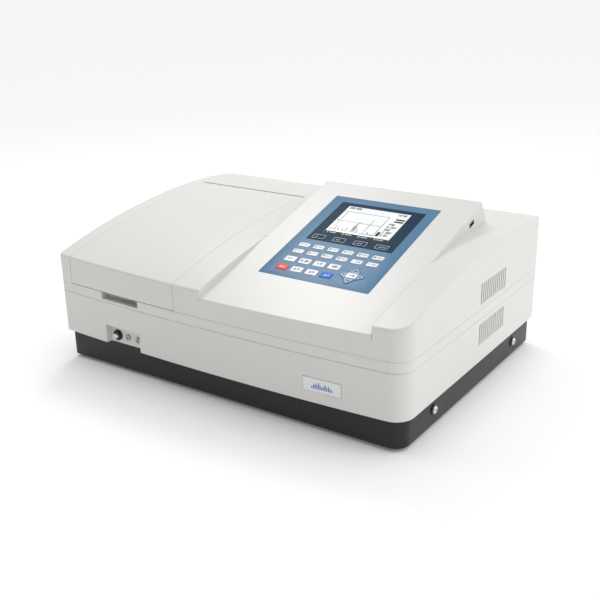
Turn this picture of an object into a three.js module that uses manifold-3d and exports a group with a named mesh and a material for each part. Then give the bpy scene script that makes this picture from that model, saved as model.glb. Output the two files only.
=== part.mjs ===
// Bench-top double-beam spectrophotometer: sample compartment with a hinged lid on the left, sloping
// control console on the right, optics, lamps and electronics inside the case.
// Millimetres. +X right, -Y front, +Z up. Origin on the bench, under the middle of the case.

import * as THREE from 'three';
import { mergeVertices } from 'three/addons/utils/BufferGeometryUtils.js';
import Module from 'manifold-3d';

// ---------------------------------------------------------------- driving dimensions

// case
const WIDTH = 625;
const DEPTH = 462.85;
const HALF = WIDTH / 2;
const FRONT = -DEPTH / 2;
const REAR = DEPTH / 2;
const BOW = 10.35; // how far the middle of the front stands ahead of its corners
const WALL = 3.5;
const GAP = 0.3;
const EDGE_R = 3; // rounding along the top edges
const CORNER_R = 8; // upright corners
const FRONT_RIGHT_R = 28; // the softer upright corner beside the console
const CROWN = [175, 149, -150, 107, -62]; // height of the roof along the depth, a quartic
const AHEAD = FRONT - 30; // a depth and a height that are clear of the case, for cutters
const ALOFT = 400;

// heights
const FOOT_TOP = 4.7;
const BASE_BOTTOM = 5;
const BASE_TOP = 48.7;
const HOUSING_BOTTOM = 49;
const SPLIT = 117.8; // seam between the lower and the upper housing
const LID_BOTTOM = 133.4;
const DECK_TOP = 121;

// base tray
const BASE_SIDE_INSET = 6.2;
const BASE_FRONT = FRONT + BOW + 5.8;
const BASE_REAR = REAR - 3.5;
const BASE_WALL = 2.5;
const BASE_FLOOR = BASE_BOTTOM + 3;
const FOOT = { x: 255, front: -170, rear: 180, r: 11 };

// lid and its hinge
const LID_LEFT = -286;
const LID_RIGHT = -64.5;
const LID_GAP = 0.5;
const LID_SKIN = 3;
const LID_REAR = 113.5;
const WELL_REAR = 117;
const FLANGE = 2.5; // thickness of the lid's stiffening flanges
const FLANGE_DEPTH = 16;
const PARTITION = 3;
const HINGE_Y = 109;
const HINGE_DROP = 6; // hinge pin centre under the roof surface
const PIN_R = 2.5;
const BORE_R = 2.8;
const EAR = { left: -262, right: -100, width: 12, front: 5.5, back: 4, below: 5.5, above: 5 };

// console
const TILT = THREE.MathUtils.degToRad(16.5);
const SLOPE = Math.tan(TILT);
const CONSOLE_LEFT = -14;
const CONSOLE_RIGHT = 263.8;
const CONSOLE_FRONT_Z = 164.4;
const CONSOLE_BACK_Y = 108.2;
const CONSOLE_REAR_SLOPE = 1.9; // fall per millimetre of the console's back
const OVERLAY = { x0: 31.5, x1: 215.5, v0: 85, v1: 312, thick: 0.8 };
const SCREEN = { x: 123, v: 248.4, w: 110, h: 81.6 };

// keypad: columns across, rows up the slope
const KEY_COLUMNS = [60.3, 85.5, 110.7, 135.8, 161, 186.2];
const SOFT_COLUMNS = [69.6, 105.6, 141.6, 177.6];
const KEY_RISE = 0.7;
const KEY_DEPTH = 2.6;
const KEY_CLEARANCE = 0.35;
const KEY_ROWS = [
  { name: 'digit_upper', v: 167.5, w: 17.5, h: 9.5, columns: KEY_COLUMNS, colour: 0xf4f6f6 },
  { name: 'digit_lower', v: 149.7, w: 17.5, h: 9.5, columns: KEY_COLUMNS, colour: 0xf4f6f6 },
  { name: 'command', v: 128.6, w: 18.5, h: 12.5, columns: KEY_COLUMNS.slice(0, 4), colour: 0xf4f6f6 },
  { name: 'action', v: 106.6, w: 18.5, h: 12.5, columns: KEY_COLUMNS.slice(0, 4), colour: 0xf4f6f6 },
  { name: 'soft', v: 194, w: 22.5, h: 13, columns: SOFT_COLUMNS, colour: 0x3d566e },
];
const STOP_KEY = 'key_action_1';
const START_KEY = 'key_action_4';
const NAV = { x: 172, v: 116.2, reach: 19.5, waist: 9 };

// front details
const NOTCH = { x0: -217, x1: -139, z0: 122, depth: 14 };
const RECESS = { x0: -214, x1: -140, top: 80, back: -216.5, wall: 3 };
const ROD = { x: -198, z: 62, r: 2.5, knobR: 3.9, front: -224.5, knobLength: 4.4 };
const BUSHING = { r: 8.6, thick: 2.8, bore: 3, sleeveR: 4.5, length: 8 };
const PLUGS = [-176.5, -155];
const NAMEPLATE = { x: 190, z: 75.75, w: 60, h: 20.5, thick: 1.2, sunk: 1 };

// side details
const VENT = { y: 51.2, count: 13, pitch: 7.2, width: 3.6 };
const VENT_BANDS = [[77, 110], [141, 173]];
const SIDE_SCREWS = [{ name: 'front', y: -125, z: 29 }, { name: 'rear', y: 157, z: 28 }];
const USB = { v: 312, w: 16.5, h: 8, mouthW: 14, mouthH: 5.7, depth: 16, mouthDepth: 12, sink: 15 };

// sample compartment
const CHAMBER = { x0: -262, x1: -100, y0: -185, y1: 5, z0: 53, wall: 2.5, flange: 8 };
const CARRIAGE = { y0: -120, y1: -40, halfWidth: 15, z0: 56, z1: 90 };
const CELL = { size: 12.8, pitch: 18, first: -107, floor: 62, window: 3.5 };

// optics: a beam from the lamps through the monochromator and the cells to the detector
const BEAM_Z = 78;
const BEAM_HALF = 8; // half the height of a beam window
const SOURCE_Y = 23; // where the lamps' beam enters the monochromator
const MONOCHROMATOR = { x0: -50, x1: 90, y0: -150, y1: 40, top: 108, wall: 6, floor: 8 };
const GRATING = { x: 20, y: -50, shaftR: 4, height: 80, halfWidth: 16, back: -7, face: 3, z0: 44, z1: 76 };
const LAMPS = { x0: 205, x1: 290, y0: 5, y1: 97, top: 112, wall: 6 };
const DETECTOR = { x0: -294, x1: -266, halfDepth: 20, foot: 4, back: 6, headBottom: 60, top: 104 };

// electronics
const SUPPLY = { x0: -200, x1: -60, y0: 60, y1: 190, top: 58, wall: 6 };
const BOARD = { x0: 110, x1: 290, y0: -190, y1: -20, rise: 8, thick: 1.6, post: 6 };
const BOARD_MODULES = [
  { x0: 150, x1: 190, y0: -130, y1: -90, height: 4 },
  { x0: 220, x1: 270, y0: -160, y1: -120, height: 7 },
];

// rear panel
const PANEL = { x0: -143, x1: 143, z0: 53, z1: 115, y0: 225.6, y1: 227.6 };
const PANEL_WINDOW = { x0: -140, x1: 140, z0: 56, z1: 112 };
const FAN = { x: 90, z: 84, size: 50, boreR: 23, hubR: 9, y0: 210, y1: 225.3, blades: 7, pitch: 0.6 };
const GRILLE = { pitch: 6, half: 1.8, rows: 3, margin: 2 }; // slots in the panel over the fan
const INLET = { x: -98, z: 84, w: 24, h: 16.5, depth: 15 };
const ROCKER = { x: -66, z: 84, w: 13, h: 19, depth: 12 };
const INLET_FLANGE = { thick: 2.4, halfHeight: 14, left: 18, right: 13, lip: 2.5, bodyDepth: 18 };

// ---------------------------------------------------------------- helpers

const wasm = await Module();
wasm.setup();

// A closed three.js geometry as a solid that can be joined and cut.
function solid(geometry) {
  const bare = geometry.index ? geometry.toNonIndexed() : geometry.clone();
  bare.deleteAttribute('normal');
  bare.deleteAttribute('uv');
  const merged = mergeVertices(bare, 1e-4);
  return new wasm.Manifold(new wasm.Mesh({
    numProp: 3,
    vertProperties: new Float32Array(merged.attributes.position.array),
    triVerts: new Uint32Array(merged.index.array),
  }));
}

function geometryOf(manifold) {
  const mesh = manifold.getMesh();
  const geometry = new THREE.BufferGeometry();
  geometry.setAttribute('position', new THREE.BufferAttribute(new Float32Array(mesh.vertProperties), 3));
  geometry.setIndex(new THREE.BufferAttribute(new Uint32Array(mesh.triVerts), 1));
  geometry.computeVertexNormals();
  return geometry;
}

function boxBetween(x0, x1, y0, y1, z0, z1) {
  const box = new THREE.BoxGeometry(x1 - x0, y1 - y0, z1 - z0);
  return box.translate((x0 + x1) / 2, (y0 + y1) / 2, (z0 + z1) / 2);
}

const block = (...sides) => solid(boxBetween(...sides));
const join = (first, ...rest) => rest.reduce((sum, next) => sum.add(next), first);
const cut = (first, ...rest) => rest.reduce((sum, next) => sum.subtract(next), first);

// A profile drawn in (y, z) and drawn out along x.
function alongX(shape, x0, x1, options = {}) {
  const bevel = options.bevelThickness || 0;
  const depth = x1 - x0 - 2 * bevel;
  const geometry = new THREE.ExtrudeGeometry(shape, { bevelEnabled: false, ...options, depth });
  const turn = new THREE.Matrix4().makeBasis(
    new THREE.Vector3(0, 1, 0), new THREE.Vector3(0, 0, 1), new THREE.Vector3(1, 0, 0));
  return geometry.applyMatrix4(turn).translate(x0 + bevel, 0, 0);
}

// A turned profile of (radius, height) points, its axis along `axis`.
function turned(points, axis, segments = 24) {
  const lathe = new THREE.LatheGeometry(points.map(([r, h]) => new THREE.Vector2(r, h)), segments);
  const up = new THREE.Vector3(0, 1, 0);
  const towards = new THREE.Vector3(...axis);
  return lathe.applyQuaternion(new THREE.Quaternion().setFromUnitVectors(up, towards));
}

function polygon(points) {
  return new THREE.Shape(points.map(([a, b]) => new THREE.Vector2(a, b)));
}

// A rectangle about (x, y) with its corners cut off.
function chamferedRectangle(x, y, w, h, corner) {
  const [a, b] = [w / 2, h / 2];
  return polygon([
    [x - a + corner, y - b], [x + a - corner, y - b], [x + a, y - b + corner], [x + a, y + b - corner],
    [x + a - corner, y + b], [x - a + corner, y + b], [x - a, y + b - corner], [x - a, y - b + corner],
  ]);
}

function flatPlate(shape, z0, z1, holes = []) {
  shape.holes.push(...holes);
  const plate = new THREE.ExtrudeGeometry(shape, { depth: z1 - z0, bevelEnabled: false, curveSegments: 6 });
  return plate.translate(0, 0, z0);
}

const object = new THREE.Group();
object.name = 'spectrophotometer';

function addPart(name, geometry, finish, parent = object) {
  const [color, roughness, metalness] = finish;
  const mesh = new THREE.Mesh(geometry, new THREE.MeshStandardMaterial({ color, roughness, metalness }));
  mesh.name = name;
  parent.add(mesh);
  return mesh;
}

const SHELL_WHITE = [0xf0eee9, 0.55, 0];
const CHARCOAL = [0x2a2b2d, 0.5, 0.2];
const BLACK_PLASTIC = [0x161617, 0.5, 0];
const BLACK_ANODISED = [0x1c1c1e, 0.45, 0.6];
const STEEL = [0xc9cbcd, 0.25, 1];
const CAST_ALUMINIUM = [0x8d9092, 0.5, 0.9];
const SHEET_METAL = [0xb5b7b8, 0.4, 0.9];
const GREY_METAL = [0x8a8c8e, 0.4, 0.6];
const RUBBER = [0x1a1a1a, 0.9, 0];
const BOARD_GREEN = [0x1d5c38, 0.5, 0];
const OVERLAY_BLUE = [0x5f88b5, 0.25, 0];

// ---------------------------------------------------------------- case surfaces

function crown(y) {
  const t = (THREE.MathUtils.clamp(y, FRONT, REAR) - FRONT) / DEPTH;
  return CROWN.reduceRight((sum, c) => sum * t + c, 0);
}

const frontAt = (x) => FRONT + BOW * (2 * x / WIDTH) ** 2;
const consoleZ = (y) => CONSOLE_FRONT_Z + SLOPE * (y - FRONT);

// A rectangle seen from above, from -x to x, with a bowed front and round corners; the front right
// one has its own size.
function planOutline({ x, middle, corner, back, left, right }) {
  const round = 0.552; // Bezier handle length that makes a quarter circle
  const flat = 1 - round;
  const atFront = (px) => middle + (corner - middle) * (px / x) ** 2;
  const tangents = middle - (corner - middle) * (x - left) * (x - right) / x ** 2; // where they meet
  const s = new THREE.Shape();
  s.moveTo(-x + left, atFront(-x + left));
  s.quadraticCurveTo((left - right) / 2, tangents, x - right, atFront(x - right));
  s.bezierCurveTo(x - right * flat, corner, x, corner + right * flat, x, corner + right);
  s.lineTo(x, back - left);
  s.bezierCurveTo(x, back - left * flat, x - left * flat, back, x - left, back);
  s.lineTo(-x + left, back);
  s.bezierCurveTo(-x + left * flat, back, -x, back - left * flat, -x, back - left);
  s.lineTo(-x, corner + left);
  s.bezierCurveTo(-x, corner + left * flat, -x + left * flat, corner, -x + left, atFront(-x + left));
  return s;
}

function upright(outline, z0, z1) {
  return solid(flatPlate(outline, z0, z1));
}

// The case's plan, drawn in by `inset`, between two heights.
function planPrism(inset, z0, z1) {
  return upright(planOutline({
    x: HALF - inset,
    middle: FRONT + inset,
    corner: FRONT + BOW + inset,
    back: REAR - inset,
    left: Math.max(CORNER_R - inset, 1),
    right: Math.max(FRONT_RIGHT_R - inset, 1),
  }), z0, z1);
}

// Rounds the top edge between an upright wall at `wall` and the roof; `side` is -1 at the front,
// 1 at the rear.
function topEdge(wall, side, inset, radius) {
  const step = 0.5;
  const y = wall - side * radius;
  const lean = Math.atan(Math.abs(crown(y) - crown(y - side * step)) / step);
  const end = y + side * radius * Math.sin(lean);
  return { y, z: crown(end) - inset - radius * Math.cos(lean), end, lean };
}

// The solid inside the case's outer surface, drawn in by `inset`: domed roof, bowed front, round corners.
function caseBody(inset, z0) {
  const radius = inset ? 1 : EDGE_R;
  const front = topEdge(FRONT + inset, -1, inset, radius);
  const rear = topEdge(REAR - inset, 1, inset, radius);
  const stations = 12;
  const profile = new THREE.Shape();
  profile.moveTo(FRONT + inset, 0);
  profile.lineTo(FRONT + inset, front.z);
  profile.absarc(front.y, front.z, radius, Math.PI, Math.PI / 2 + front.lean, true);
  for (let i = 1; i < stations; i++) {
    const y = THREE.MathUtils.lerp(front.end, rear.end, i / stations);
    profile.lineTo(y, crown(y) - inset);
  }
  profile.absarc(rear.y, rear.z, radius, Math.PI / 2 - rear.lean, 0, true);
  profile.lineTo(REAR - inset, 0);
  const bevel = inset
    ? {}
    : { bevelEnabled: true, bevelThickness: radius, bevelSize: 2.4, bevelOffset: -2.4, bevelSegments: 2 };
  const side = HALF - inset;
  const dome = alongX(profile, -side, side, { steps: 8, curveSegments: 3, ...bevel });
  const position = dome.attributes.position;
  for (let i = 0; i < position.count; i++) {
    const y = position.getY(i);
    const share = (REAR - y) / DEPTH;
    const bowed = y + BOW * (2 * position.getX(i) / WIDTH) ** 2 * share;
    position.setY(i, bowed);
    if (position.getZ(i) > LID_BOTTOM) position.setZ(i, position.getZ(i) + crown(bowed) - crown(y));
  }
  return solid(dome).intersect(planPrism(inset, z0, ALOFT));
}

// Everything between the sides of the console, above (or below) its sloping face.
function consolePrism(x0, x1, drop, above) {
  const front = FRONT - 20;
  const backTop = CONSOLE_BACK_Y - drop;
  const z = (y) => consoleZ(y) - drop / Math.cos(TILT);
  const face = [[front, z(front)], [backTop, z(backTop)]];
  const backFoot = backTop + (z(backTop) - SPLIT) / CONSOLE_REAR_SLOPE;
  const rest = above ? [[backTop, ALOFT], [front, ALOFT]] : [[backFoot, SPLIT], [front, SPLIT]];
  return solid(alongX(polygon([...face, ...rest]), x0, x1));
}

// The frame of the sloping console face: x across, y up the slope, z out of it.
const consoleFrame = new THREE.Group();
consoleFrame.position.set(0, FRONT, CONSOLE_FRONT_Z);
consoleFrame.rotation.x = TILT;
consoleFrame.updateMatrix();
object.add(consoleFrame);
const onConsole = (geometry) => solid(geometry.applyMatrix4(consoleFrame.matrix));

// ---------------------------------------------------------------- base, feet, side screws

function addBase() {
  const x = HALF - BASE_SIDE_INSET;
  const tray = (inset, z0, z1) => upright(planOutline({
    x: x - inset,
    middle: BASE_FRONT + inset,
    corner: BASE_FRONT + inset,
    back: BASE_REAR - inset,
    left: CORNER_R - inset,
    right: FRONT_RIGHT_R - BASE_SIDE_INSET - inset,
  }), z0, z1);
  const outer = tray(0, BASE_BOTTOM, BASE_TOP);
  const inner = tray(BASE_WALL, BASE_FLOOR, BASE_TOP + 1);
  addPart('base_tray', geometryOf(outer.subtract(inner)), CHARCOAL);

  const footProfile = [[0, 0], [FOOT.r - 1, 0], [FOOT.r, 1], [FOOT.r, FOOT_TOP], [0, FOOT_TOP]];
  const foot = turned(footProfile, [0, 1, 0], 20).rotateX(Math.PI / 2);
  for (const [side, sign] of [['left', -1], ['right', 1]]) {
    for (const end of ['front', 'rear']) {
      addPart(`foot_${end}_${side}`, foot, RUBBER).position.set(sign * FOOT.x, FOOT[end], 0);
    }
  }

  const screw = [[0, 0], [8.5, 0], [8.5, 1], [5.4, 1.2], [5, 2.6], [3, 4], [0, 4.5]];
  for (const { name, y, z } of SIDE_SCREWS) {
    for (const [side, sign] of [['left', -1], ['right', 1]]) {
      const head = turned(screw, [sign, 0, 0], 20);
      addPart(`base_screw_${name}_${side}`, head, STEEL).position.set(sign * (x + GAP), y, z);
    }
  }
}

// ---------------------------------------------------------------- lower housing and what is fixed to it

function ventCutters() {
  const cutters = [];
  for (const [z0, z1] of VENT_BANDS) {
    for (let i = 0; i < VENT.count; i++) {
      const y = VENT.y - VENT.width / 2 + (i - (VENT.count - 1) / 2) * VENT.pitch;
      cutters.push({ z0, box: block(HALF - 10, HALF + 10, y, y + VENT.width, z0, z1) });
    }
  }
  return cutters;
}

// A cylinder along y, for bores in the front and rear walls.
const boreY = (x, z, r, y0, y1, segments = 20) =>
  solid(new THREE.CylinderGeometry(r, r, y1 - y0, segments).translate(x, (y0 + y1) / 2, z));

function addLowerHousing() {
  const outer = planPrism(0, HOUSING_BOTTOM, SPLIT - GAP);
  const inner = planPrism(WALL, HOUSING_BOTTOM + 2.5, SPLIT + 1);
  const throat = planPrism(16, HOUSING_BOTTOM - 1, HOUSING_BOTTOM + 3);
  const liner = block(RECESS.x0 - RECESS.wall, RECESS.x1 + RECESS.wall, FRONT + WALL + 3,
    RECESS.back + RECESS.wall, HOUSING_BOTTOM, RECESS.top + RECESS.wall);
  let shell = join(cut(outer, inner, throat), liner.intersect(outer));
  shell = cut(shell,
    block(RECESS.x0, RECESS.x1, FRONT - 5, RECESS.back, HOUSING_BOTTOM - 1, RECESS.top),
    boreY(ROD.x, ROD.z, 4.8, RECESS.back - 1, RECESS.back + 5),
    ...PLUGS.map((x) => boreY(x, ROD.z, 3.3, RECESS.back - 1, RECESS.back + 5)),
    block(PANEL_WINDOW.x0, PANEL_WINDOW.x1, REAR - 10, REAR + 5, PANEL_WINDOW.z0, PANEL_WINDOW.z1),
    ...ventCutters().filter((vent) => vent.z0 < SPLIT).map((vent) => vent.box),
    solid(nameplateGeometry(GAP, NAMEPLATE.sunk + 3)));
  addPart('lower_housing', geometryOf(shell), SHELL_WHITE);

  addPart('nameplate', nameplateGeometry(0, NAMEPLATE.thick), [0xd4d4cf, 0.35, 0.3]);
}

// The nameplate lies in a shallow bed in the bowed front, turned to follow it.
function nameplateGeometry(spread, thick) {
  const { x, z, w, h, sunk } = NAMEPLATE;
  const turn = Math.atan(8 * BOW * x / WIDTH ** 2);
  const bed = sunk - (spread ? 0 : GAP);
  const plate = new THREE.BoxGeometry(w + 2 * spread, thick, h + 2 * spread);
  return plate.translate(0, bed - thick / 2, 0).rotateZ(turn).translate(x, frontAt(x), z);
}

function addPortPlugs() {
  const profile = [[0, 0], [4.8, 0], [4.8, 2], [4, 2.6], [1.4, 2.6], [1.4, 1.6], [0, 1.6]];
  const plug = turned(profile, [0, -1, 0]);
  const stem = new THREE.CylinderGeometry(3, 3, 5, 16).translate(0, 2.3, 0);
  const whole = geometryOf(solid(plug).add(solid(stem)));
  ['left', 'right'].forEach((side, i) => {
    addPart(`port_plug_${side}`, whole, GREY_METAL).position.set(PLUGS[i], RECESS.back - GAP, ROD.z);
  });
}

// ---------------------------------------------------------------- upper housing

function addUpperHousing() {
  const roof = caseBody(0, SPLIT);
  const lidSpace = block(LID_LEFT, LID_RIGHT, AHEAD, WELL_REAR, LID_BOTTOM, ALOFT);

  const wedge = consolePrism(CONSOLE_LEFT, CONSOLE_RIGHT, 0, false).intersect(planPrism(0, SPLIT, ALOFT));
  const above = consolePrism(CONSOLE_LEFT, CONSOLE_RIGHT, 0, true);
  const outer = cut(join(roof, wedge), above);

  const hollowWedge = consolePrism(CONSOLE_LEFT + WALL, CONSOLE_RIGHT - WALL, WALL, false)
    .intersect(planPrism(WALL, SPLIT - 1, ALOFT));
  const hollowAbove = consolePrism(CONSOLE_LEFT - WALL, CONSOLE_RIGHT + WALL, WALL, true);
  const inner = cut(join(caseBody(WALL, SPLIT - 1), hollowWedge), hollowAbove);

  // floor and walls of the well that the lid covers
  const wellOuter = block(LID_LEFT - PARTITION, LID_RIGHT + PARTITION, AHEAD, WELL_REAR + PARTITION,
    SPLIT, ALOFT);
  const wellInner = block(LID_LEFT, LID_RIGHT, AHEAD, WELL_REAR, DECK_TOP, ALOFT);
  const well = cut(wellOuter, wellInner).intersect(caseBody(1, SPLIT));
  const notchBack = FRONT + NOTCH.depth + PARTITION;
  const pocket = block(NOTCH.x0 - PARTITION, NOTCH.x1 + PARTITION, FRONT + WALL + 2, notchBack + PARTITION,
    DECK_TOP, LID_BOTTOM);

  let shell = cut(join(cut(outer, inner), well, pocket), lidSpace);
  const rim = 3;
  shell = cut(shell,
    block(CHAMBER.x0 - GAP, CHAMBER.x1 + GAP, CHAMBER.y0 - GAP, CHAMBER.y1 + GAP, SPLIT - 1, DECK_TOP + 1),
    block(NOTCH.x0, NOTCH.x1, FRONT - 5, notchBack, NOTCH.z0, LID_BOTTOM + 1),
    solid(hingeRod(BORE_R, LID_LEFT - PARTITION - 1, LID_RIGHT + PARTITION + 1)),
    onConsole(boxBetween(OVERLAY.x0 - GAP, OVERLAY.x1 + GAP, OVERLAY.v0 - GAP, OVERLAY.v1 + GAP,
      -OVERLAY.thick - GAP, 5)),
    onConsole(boxBetween(OVERLAY.x0 + rim, OVERLAY.x1 - rim, OVERLAY.v0 + rim, OVERLAY.v1 - rim, -10, 5)),
    onConsole(socketBox(CONSOLE_RIGHT - 12, CONSOLE_RIGHT + 5, USB.w + 2 * GAP, USB.h + 2 * GAP)),
    ...ventCutters().filter((vent) => vent.z0 > SPLIT).map((vent) => vent.box));
  addPart('upper_housing', geometryOf(shell), SHELL_WHITE);
}

// ---------------------------------------------------------------- lid

const hingeZ = crown(HINGE_Y) - HINGE_DROP;

function hingeRod(radius, x0, x1) {
  const rod = new THREE.CylinderGeometry(radius, radius, x1 - x0, 16).rotateZ(Math.PI / 2);
  return rod.translate((x0 + x1) / 2, HINGE_Y, hingeZ);
}

function addLid() {
  const [x0, x1] = [LID_LEFT + LID_GAP, LID_RIGHT - LID_GAP];
  const outer = caseBody(0, LID_BOTTOM + LID_GAP);
  const space = block(x0, x1, AHEAD, LID_REAR, LID_BOTTOM + LID_GAP, ALOFT);
  const whole = outer.intersect(space);
  const skin = whole.subtract(caseBody(LID_SKIN, SPLIT));
  const lowered = outer.translate([0, 0, -FLANGE_DEPTH]);
  const flange = (a, b) => cut(whole.intersect(block(a, b, FRONT, LID_REAR, LID_BOTTOM, ALOFT)), lowered);
  const ear = (x) => block(x, x + EAR.width, HINGE_Y - EAR.front, HINGE_Y + EAR.back,
    hingeZ - EAR.below, hingeZ + EAR.above).intersect(caseBody(1, SPLIT));
  const flanges = [flange(x0, x0 + FLANGE), flange(x1 - FLANGE, x1)];
  const bore = solid(hingeRod(BORE_R, x0 - 1, x1 + 1));
  const lid = cut(join(skin, ...flanges, ear(EAR.left), ear(EAR.right)), bore);
  addPart('sample_lid', geometryOf(lid), SHELL_WHITE);
  addPart('lid_hinge_pin', hingeRod(PIN_R, LID_LEFT - PARTITION, LID_RIGHT + PARTITION), STEEL);
}

// ---------------------------------------------------------------- console face

function keyShapes() {
  const keys = [];
  for (const row of KEY_ROWS) {
    row.columns.forEach((x, i) => {
      const name = `key_${row.name}_${i + 1}`;
      const colour = { [STOP_KEY]: 0xf2452a, [START_KEY]: 0x0d6fd1 }[name] || row.colour;
      const outline = (grow) => chamferedRectangle(x, row.v, row.w + grow, row.h + grow, 1.2);
      keys.push({ name, colour, outline });
    });
  }
  keys.push({ name: 'key_navigation', colour: 0x7fa0c4, outline: navigationOutline });
  return keys;
}

// A four-pointed pad: an arrow to each side of the enter key.
function navigationOutline(grow) {
  const far = NAV.reach + grow / 2;
  const near = NAV.waist + grow / 2;
  const corners = [];
  for (let i = 0; i < 4; i++) {
    const angle = i * Math.PI / 2;
    const [c, s] = [Math.cos(angle), Math.sin(angle)];
    for (const [a, b] of [[far, -2], [far, 2], [near, near]]) {
      corners.push([NAV.x + a * c - b * s, NAV.v + a * s + b * c]);
    }
  }
  return polygon(corners);
}

// A box in the console's frame around the socket in its right wall.
function socketBox(x0, x1, w, h) {
  const box = new THREE.BoxGeometry(x1 - x0, w, h);
  return box.translate((x0 + x1) / 2, USB.v, -USB.sink);
}

function addConsole() {
  const { x0, x1, v0, v1, thick } = OVERLAY;
  const screenHole = chamferedRectangle(SCREEN.x, SCREEN.v, SCREEN.w, SCREEN.h, 0.3);
  const keys = keyShapes();
  const holes = keys.map((key) => key.outline(2 * KEY_CLEARANCE));
  const sheet = polygon([[x0, v0], [x1, v0], [x1, v1], [x0, v1]]);
  const overlay = flatPlate(sheet, -thick, 0, [screenHole, ...holes]);
  addPart('keypad_overlay', overlay, OVERLAY_BLUE, consoleFrame);

  for (const { name, colour, outline } of keys) {
    addPart(name, flatPlate(outline(0), -KEY_DEPTH, KEY_RISE), [colour, 0.4, 0], consoleFrame);
  }

  const boardTop = -WALL - GAP;
  const board = boxBetween(x0 + 1, x1 - 1, v0 - 2, SCREEN.v - 54, boardTop - 1.6, boardTop);
  addPart('keypad_board', board, BOARD_GREEN, consoleFrame);

  const back = solid(boxBetween(SCREEN.x - 66, SCREEN.x + 66, SCREEN.v - 44, SCREEN.v + 50, -12, boardTop));
  const glass = solid(boxBetween(SCREEN.x - SCREEN.w / 2 + GAP, SCREEN.x + SCREEN.w / 2 - GAP,
    SCREEN.v - SCREEN.h / 2 + GAP, SCREEN.v + SCREEN.h / 2 - GAP, boardTop - 1, -0.4));
  addPart('display_module', geometryOf(back.add(glass)), [0xe8ecea, 0.3, 0], consoleFrame);

  const { w, h, mouthW, mouthH, depth, mouthDepth } = USB;
  const face = CONSOLE_RIGHT + 0.4;
  const socket = solid(socketBox(face - depth, face, w, h));
  const mouth = solid(socketBox(face - mouthDepth, face + 1, mouthW, mouthH));
  addPart('usb_socket', geometryOf(socket.subtract(mouth)), STEEL, consoleFrame);
}

// ---------------------------------------------------------------- sample compartment

// The beam's way through a wall that stands across x.
function beamWindow(x0, x1, y, half = 3, grow = 0) {
  return block(x0, x1, y - half, y + half, BEAM_Z - BEAM_HALF - grow, BEAM_Z + BEAM_HALF + grow);
}

function addSampleCompartment() {
  const { x0, x1, y0, y1, z0, wall, flange } = CHAMBER;
  const top = DECK_TOP + GAP + 2;
  const tub = block(x0, x1, y0, y1, z0, top);
  const rim = block(x0 - flange, x1 + flange, y0 - flange, y1 + flange, DECK_TOP + GAP, top);
  const hollow = block(x0 + wall, x1 - wall, y0 + wall, y1 - wall, z0 + wall, top + 1);
  const beam = beamWindow(x0 - 5, x1 + 5, CELL.first, 5, 1);
  const chamber = cut(join(tub, rim), hollow, beam, boreY(ROD.x, ROD.z, ROD.r + 0.5, y0 - 5, y0 + 10));
  addPart('sample_chamber', geometryOf(chamber), BLACK_ANODISED);

  const c = CARRIAGE;
  let carriage = block(ROD.x - c.halfWidth, ROD.x + c.halfWidth, c.y0, c.y1, c.z0, c.z1);
  for (let i = 0; i < 4; i++) {
    const y = CELL.first + i * CELL.pitch;
    const s = CELL.size / 2;
    carriage = cut(carriage,
      block(ROD.x - s, ROD.x + s, y - s, y + s, CELL.floor, c.z1 + 1),
      block(ROD.x - c.halfWidth - 1, ROD.x + c.halfWidth + 1, y - CELL.window, y + CELL.window,
        BEAM_Z - BEAM_HALF, BEAM_Z + 6));
  }
  addPart('cell_carriage', geometryOf(carriage), BLACK_ANODISED);

  const length = c.y0 - GAP - ROD.front;
  const rodProfile = [[0, 0], [ROD.knobR - 1, 0], [ROD.knobR, 1], [ROD.knobR, ROD.knobLength],
    [ROD.r, ROD.knobLength], [ROD.r, length], [0, length]];
  addPart('pull_rod', turned(rodProfile, [0, 1, 0]), STEEL).position.set(ROD.x, ROD.front, ROD.z);

  const { bore, r, thick, sleeveR, length: sleeve } = BUSHING;
  const ring = [[bore, 0], [r - 0.8, 0], [r, 0.8], [r, thick], [sleeveR, thick], [sleeveR, sleeve],
    [bore, sleeve], [bore, 0]];
  addPart('rod_bushing', turned(ring, [0, 1, 0]), BLACK_PLASTIC)
    .position.set(ROD.x, RECESS.back - GAP - thick, ROD.z);
}

// ---------------------------------------------------------------- optics and electronics

const insideFloor = BASE_FLOOR + GAP;

// An open-topped box standing on the base tray.
function tub({ x0, x1, y0, y1, top, wall, floor = wall }) {
  return cut(block(x0, x1, y0, y1, insideFloor, top),
    block(x0 + wall, x1 - wall, y0 + wall, y1 - wall, insideFloor + floor, top + 1));
}

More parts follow.
